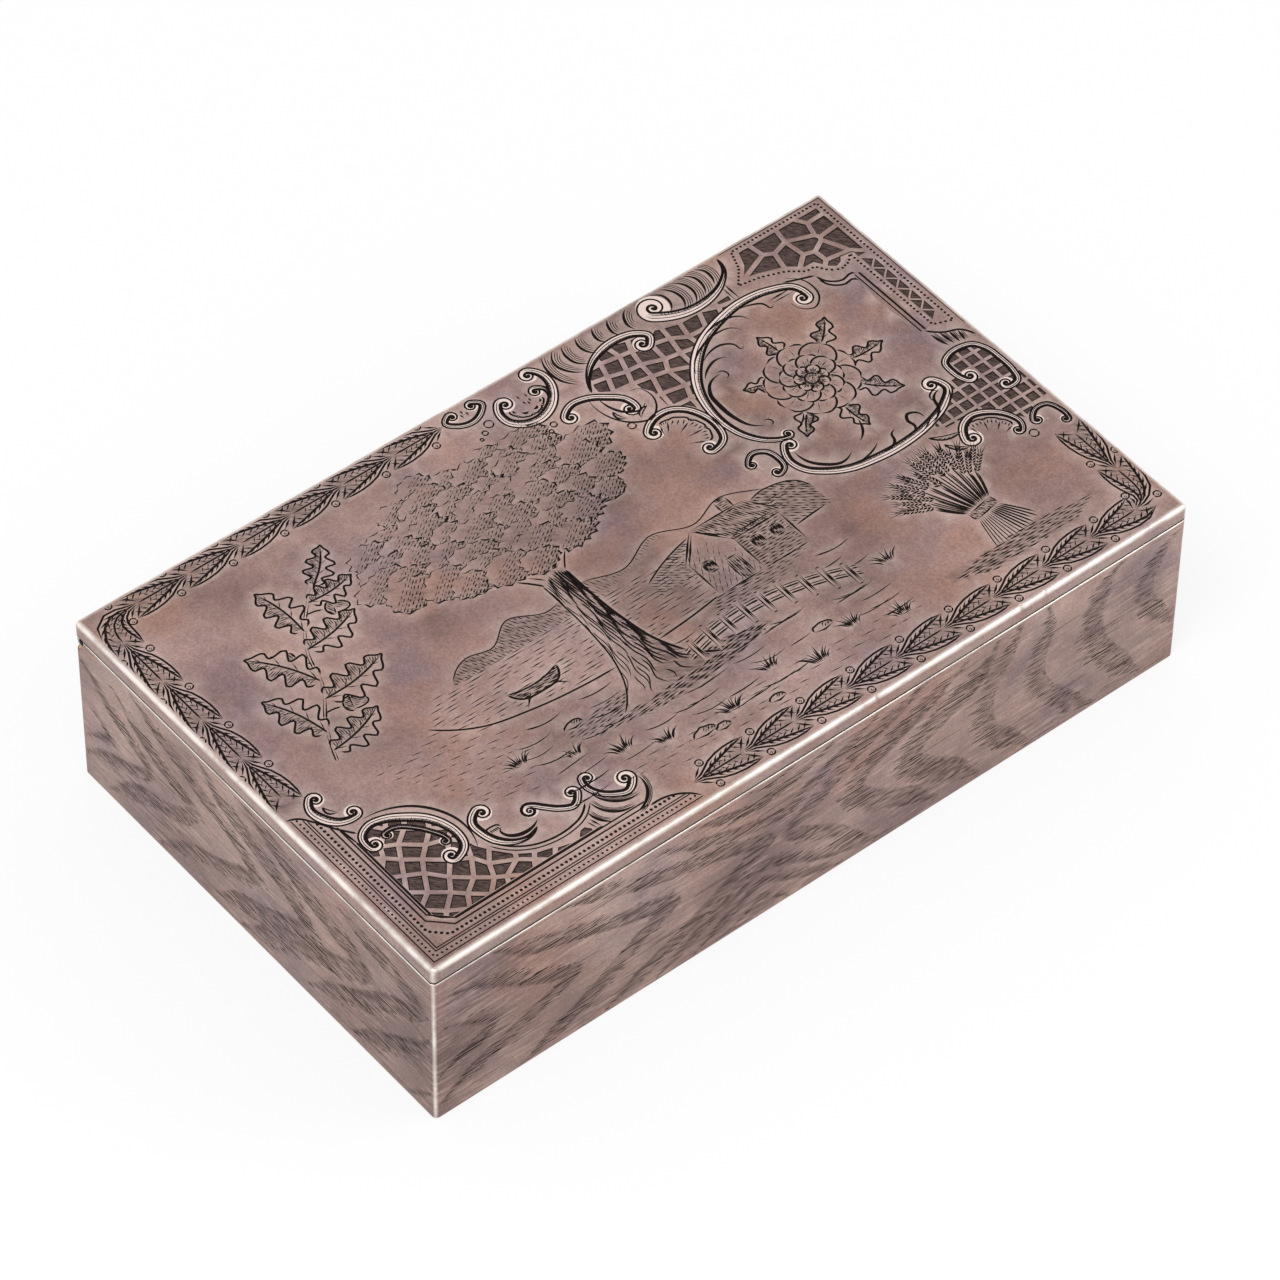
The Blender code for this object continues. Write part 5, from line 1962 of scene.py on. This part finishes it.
patina = {
    "body": (0.314, 0.198, 0.178),
    "pale": (0.420, 0.277, 0.250),
    "violet": (0.240, 0.163, 0.186),
    "rust": (0.380, 0.205, 0.145),
    "smoke": (0.200, 0.124, 0.114),
    "rubAndHighlight": (0.930, 0.770, 0.710),  # rubbed high places in and round the ornament, partly a painted highlight
    "reliefShare": 0.74,
    "workedShare": 0.27,
    "streaks": 0,  # pale streaks along the grain
    "grain": (0.72, 1.16),
    "shade": (0.085, 0.052, 0.045),
    "shadeShare": 0.72,
    "hatch": ((0.10, 1, 1), (0, 0, 0.5)),
    "rubbed": (0.95, 0.88, 0.82),
    "edge": (0.50, 1.45),  # how far the bright edge reaches in full, and where it ends
    "levelShare": 1,  # how wide the bright edge is at the levels, compared with the rest
    "paintedFootShade": 0,
    "seam": 0,  # height of the painted shade line above the joint
}

lidPatina = {**patina, "levels": (boxTop,)}
rimPatina = {**patina, "body": (0.44, 0.315, 0.285), "edge": (0.35, 1.3), "levels": (boxTop,), "seam": 0.5}
casePatina = {
    **patina,
    "body": (0.345, 0.218, 0.192),
    "pale": (0.500, 0.350, 0.305),
    "violet": (0.235, 0.160, 0.180),
    "rust": (0.370, 0.205, 0.150),
    "smoke": (0.190, 0.120, 0.110),
    "rubAndHighlight": (0.720, 0.520, 0.450),
    "workedShare": 0,
    "streaks": 0.36,
    "shade": (0.110, 0.064, 0.056),
    "shadeShare": 0.58,
    "hatch": ((0.10, 0.10, 1), (0, 0, 0)),
    "edge": (0.25, 0.95),
    "levelShare": 0.5,
    "paintedFootShade": 0.5,
    "levels": (wallTop,),
}


def oxidised(name, p):
    f = Finish(name, 0.85, 0.42)
    clouds = f.ramp(f.noise(34, 4, 0.55), ((0.30, p["smoke"]), (0.45, p["body"]), (0.62, p["pale"])))
    clouds = f.mix(f.fit(f.noise(21, 3, 0.5, turn=(0.4, 0.2, 0.7)), 0.50, 0.70, (0, 0.75)), clouds,
                   p["violet"])
    clouds = f.mix(f.fit(f.noise(27, 4, 0.6, turn=(1.1, 0.5, 0.2)), 0.52, 0.72, (0, 0.75)), clouds, p["rust"])
    # painted shade: the walls darken towards their foot
    if p["paintedFootShade"]:
        low = f.maths("ADD", f.axis("Z"), f.fit(f.noise(26, 3), 0.3, 0.7, (-0.012, 0.012)))
        clouds = f.mix(f.times(f.fit(low, 0.040, 0.002), p["paintedFootShade"]), clouds, p["smoke"])
    grain = f.fit(f.noise(0.55, 3, 0.7), 0.3, 0.7, p["grain"])
    grain = f.times(grain, f.fit(f.noise(3.2, 4, 0.6), 0.3, 0.7, (0.92, 1.06)))
    clouds = f.mix(1, clouds, f.grey(grain), "MULTIPLY")
    hairs = f.maths("MAXIMUM", f.fit(f.noise(2.2, 2, 0.6, (1, 26, 26), (0, 0, 0.4)), 0.66, 0.74),
                    f.fit(f.noise(2.6, 2, 0.6, (22, 1, 22), (0, 0, 0.7)), 0.68, 0.76))
    clouds = f.mix(f.times(hairs, 0.22), clouds, p["rubbed"])
    if p["streaks"]:
        run = f.fit(f.noise(0.7, 3, 0.6, (0.10, 0.10, 1)), 0.46, 0.64)
        patch = f.fit(f.noise(9, 3, 0.6), 0.38, 0.58, (0.12, 1))
        clouds = f.mix(f.times(f.times(run, patch), p["streaks"]), clouds, p["rubAndHighlight"])
    # metal among dense cuts is paler: partly rubbed wear, partly a painted highlight beside the cuts
    if p["workedShare"]:
        clouds = f.mix(f.times(f.attribute("worked"), p["workedShare"]), clouds, p["rubAndHighlight"])
    # kept metal of the scrolls is paler: partly rubbed wear, partly a painted highlight
    clouds = f.mix(f.times(f.attribute("standing"), p["reliefShare"]), clouds, p["rubAndHighlight"])
    hatch = f.fit(f.noise(0.5, 1, 0.5, *p["hatch"]), 0.42, 0.6, (0.30, 1))
    clouds = f.mix(f.times(f.times(f.attribute("shaded"), p["shadeShare"]), hatch), clouds, p["shade"])
    ragged = f.fit(f.noise(7, 5, 0.65), 0.30, 0.60, (0.55, 1.25))
    rub = f.maths("MINIMUM", f.times(f.nearEdges(p["levels"], *p["edge"], p["levelShare"]), ragged), 1)
    rub = f.maths("POWER", rub, 1.4)
    clouds = f.mix(rub, clouds, p["rubbed"])
    # painted shade on the lowest part of the rim, just above the joint
    if p["seam"]:
        seamShade = f.fit(f.axis("Z"), (seamHeight + p["seam"]) * mm, (seamHeight + p["seam"] * 0.7) * mm,
                     (0, 0.9))
        clouds = f.mix(seamShade, clouds, p["shade"])
    f.use("Base Color", clouds)
    dull = f.fit(f.noise(9, 4, 0.6), 0.3, 0.7, (0.36, 0.52))
    f.use("Roughness", f.mix(rub, f.grey(dull), (0.26, 0.26, 0.26)))
    f.bump(f.maths("ADD", f.noise(0.5, 3, 0.6), f.times(f.noise(7, 2), 3)), 0.03, 0.6)
    return f.material


def cutMetal(name, colour, spread, stretch=(1, 1, 1), turn=(0, 0, 0)):
    f = Finish(name, 0, 0.7)
    f.use("Specular IOR Level", 0.06)
    tone = f.noise(0.4, 3, 0.6, stretch, turn)
    f.use("Base Color", f.ramp(tone, ((0.3, tuple(c * (1 - spread) for c in colour)),
                                      (0.7, tuple(c * (1 + spread) for c in colour)))))
    f.use("Roughness", f.fit(f.noise(1.5, 3), 0.3, 0.7, (0.5, 0.75)))
    return f.material


gilding = {
    "gold": (0.78, 0.58, 0.29),
    "pale": (0.84, 0.70, 0.45),
    "red": (0.62, 0.40, 0.20),
    "paintedCornerShade": (0.26, 0.165, 0.080),  # painted shade, darker where the floor and the walls meet
    "cornerShadeReach": 5,
}


def giltMetal(name, g):
    f = Finish(name, 1, 0.3)
    tone = f.ramp(f.noise(26, 4, 0.55), ((0.3, g["red"]), (0.48, g["gold"]), (0.7, g["pale"])))
    brushed = f.fit(f.noise(2.4, 3, 0.6, (1, 6, 6)), 0.3, 0.7, (0.88, 1.06))
    tone = f.mix(1, tone, f.grey(brushed), "MULTIPLY")
    # painted shade in the inside corners, where the floor meets the walls and the walls meet each other
    low = f.fit(f.axis("Z"), (floorTop + g["cornerShadeReach"]) * mm, (floorTop + 0.2) * mm)
    walls = f.nearWalls(wallSheet, 0.2, g["cornerShadeReach"])
    corner = f.maths("MAXIMUM", f.times(low, f.maths("MAXIMUM", *walls)), f.times(*walls))
    inside = f.fit(f.axis("Z"), (backTop - 1) * mm, (backTop - 3) * mm, (0, 0.85))
    f.use("Base Color", f.mix(f.times(f.maths("POWER", corner, 2.2), inside), tone, g["paintedCornerShade"]))
    f.use("Roughness", f.fit(f.noise(5, 4, 0.6), 0.3, 0.7, (0.24, 0.40)))
    f.bump(f.noise(2.4, 3, 0.6, (1, 6, 6)), 0.01, 0.3)
    return f.material


def wornMetal(name, colour, roughness):
    f = Finish(name, 1, roughness)
    dark = tuple(c * 0.55 for c in colour)
    tone = f.ramp(f.noise(2.4, 4, 0.6), ((0.32, dark), (0.55, colour)))
    f.use("Base Color", f.mix(f.fit(f.noise(0.3, 2), 0.4, 0.7, (0, 0.3)), tone, dark))
    f.use("Roughness", f.fit(f.noise(1.4, 3), 0.3, 0.7, (roughness - 0.08, roughness + 0.12)))
    f.bump(f.noise(0.35, 2), 0.01, 0.4)
    return f.material


lidSilver = oxidised("lid_silver", lidPatina)
rimSilver = oxidised("rim_silver", rimPatina)
caseSilver = oxidised("case_silver", casePatina)
lineMetal = cutMetal("cut_line_and_seam_shade", (0.013, 0.0085, 0.0078), 0.3)
groundMetal = cutMetal("matted_ground", (0.074, 0.049, 0.044), 0.80, (0.25, 1, 1), (0, 0, 0.9))
gilt = giltMetal("gilding", gilding)
wornSilver = wornMetal("worn_silver", (0.52, 0.47, 0.44), 0.34)
pinMetal = wornMetal("pin_metal", (0.42, 0.38, 0.35), 0.4)
print("finishes made")

makeLid((lidSilver, lineMetal, groundMetal, gilt, rimSilver), lidShape)
makeCase((caseSilver, lineMetal, groundMetal, gilt), caseShape)

# the hinge and the bezel keep their own shapes and get the finishes
for name, node in frame["nodes"].items():
    finish = gilt if "bezel" in name or "bearer" in name else wornSilver if "knuckle" in name else pinMetal
    node.data.materials.clear()
    node.data.materials.append(finish)


# Floor, light and camera

studio = {
    "floorHalf": 3,
    "floorDrop": 0.00005,  # keeps the floor clear of the box's underside
    "floor": (0.90, 0.90, 0.90),
    "floorGlow": 0.8,  # how much of the floor that the camera sees is plain white
    "sky": (1, 1, 1),
    "skyStrength": 0.72,
    "lamps": (
        # place, aim, size, power
        ((-0.9, -0.4, 1.6), (0, 0, 0.03), 0.9, 14),
        ((1.1, -0.9, 1), (0, 0, 0.03), 0.8, 5),
    ),
}


def seenDirectly(tree):
    # 1 where the camera sees a thing itself or its reflection, 0 where light only comes from it
    path = tree.nodes.new("ShaderNodeLightPath").outputs
    best = path["Is Camera Ray"]
    for ray in ("Is Glossy Ray", "Is Transmission Ray"):
        best = addNode(tree, "Math", "Value", {0: best, 1: path[ray]})
        best.node.operation = "MAXIMUM"
    return best


def layFloor(s):
    half, low = s["floorHalf"], -s["floorDrop"]
    mesh = bpy.data.meshes.new("floor")
    mesh.from_pydata([(x, y, low) for x, y in ((-half, -half), (half, -half), (half, half), (-half, half))],
                     [], [(0, 1, 2, 3)])
    f = Finish("paper_floor", 0, 0.9)
    light = tuple(c * 1.01 for c in s["floor"])
    f.use("Base Color", f.ramp(f.noise(4, 3), ((0.3, s["floor"]), (0.7, light))))
    glow = f.node("MixShader", "Shader", {"Fac": f.times(seenDirectly(f.tree), s["floorGlow"]),
                                          1: f.shader.outputs["BSDF"], 2: f.node("Emission", "Emission", {})})
    plug(f.tree, f.tree.nodes["Material Output"].inputs["Surface"], glow)
    mesh.materials.append(f.material)
    addObject("floor", mesh)


def lightStudio(s):
    world = bpy.data.worlds.new("studio")
    bpy.context.scene.world = world
    world.use_nodes = True
    tree = world.node_tree
    sky = tree.nodes["Background"]
    plug(tree, sky.inputs["Color"], s["sky"])
    plug(tree, sky.inputs["Strength"], s["skyStrength"])
    plain = addNode(tree, "Background", "Background", {"Color": (1, 1, 1)})
    blend = addNode(tree, "MixShader", "Shader", {"Fac": seenDirectly(tree), 1: sky.outputs["Background"],
                                                  2: plain})
    plug(tree, tree.nodes["World Output"].inputs["Surface"], blend)
    for number, (place, aim, size, power) in enumerate(s["lamps"]):
        lamp = bpy.data.lights.new(f"softbox_{number + 1}", "AREA")
        lamp.shape, lamp.size, lamp.energy = "SQUARE", size, power
        holder = addObject(lamp.name, lamp)
        holder.location = place
        holder.rotation_euler = (Vector(aim) - Vector(place)).to_track_quat("-Z", "Y").to_euler()


photoCamera = {
    # worked out from seven corners of the box in the photograph
    "lens": 190.69,
    "distance": 1.4164,
    "azimuth": -39.916,
    "elevation": 48.192,
    "roll": 0.845,
    "aim": (0.00053, -0.0011, 0.0235),
}


def placeCamera(c):
    azimuth, elevation, roll = (math.radians(c[name]) for name in ("azimuth", "elevation", "roll"))
    back = Vector((math.sin(azimuth) * math.cos(elevation), -math.cos(azimuth) * math.cos(elevation),
                   math.sin(elevation)))
    level = Vector((0, 0, 1)).cross(back).normalized()
    right = level * math.cos(roll) + back.cross(level) * math.sin(roll)
    up = back.cross(right)
    camera = addObject("camera", bpy.data.cameras.new("camera"))
    camera.data.lens = c["lens"]
    turned = camera.matrix_world.to_3x3()
    for row in range(3):
        turned[row] = (right[row], up[row], back[row])
    camera.matrix_world = turned.to_4x4()
    camera.location = Vector(c["aim"]) + back * c["distance"]
    camera.data.clip_start, camera.data.clip_end = 0.05, 20
    bpy.context.scene.camera = camera


layFloor(studio)
lightStudio(studio)
placeCamera(photoCamera)
bpy.context.scene.view_settings.view_transform = "Standard"
print("studio set")
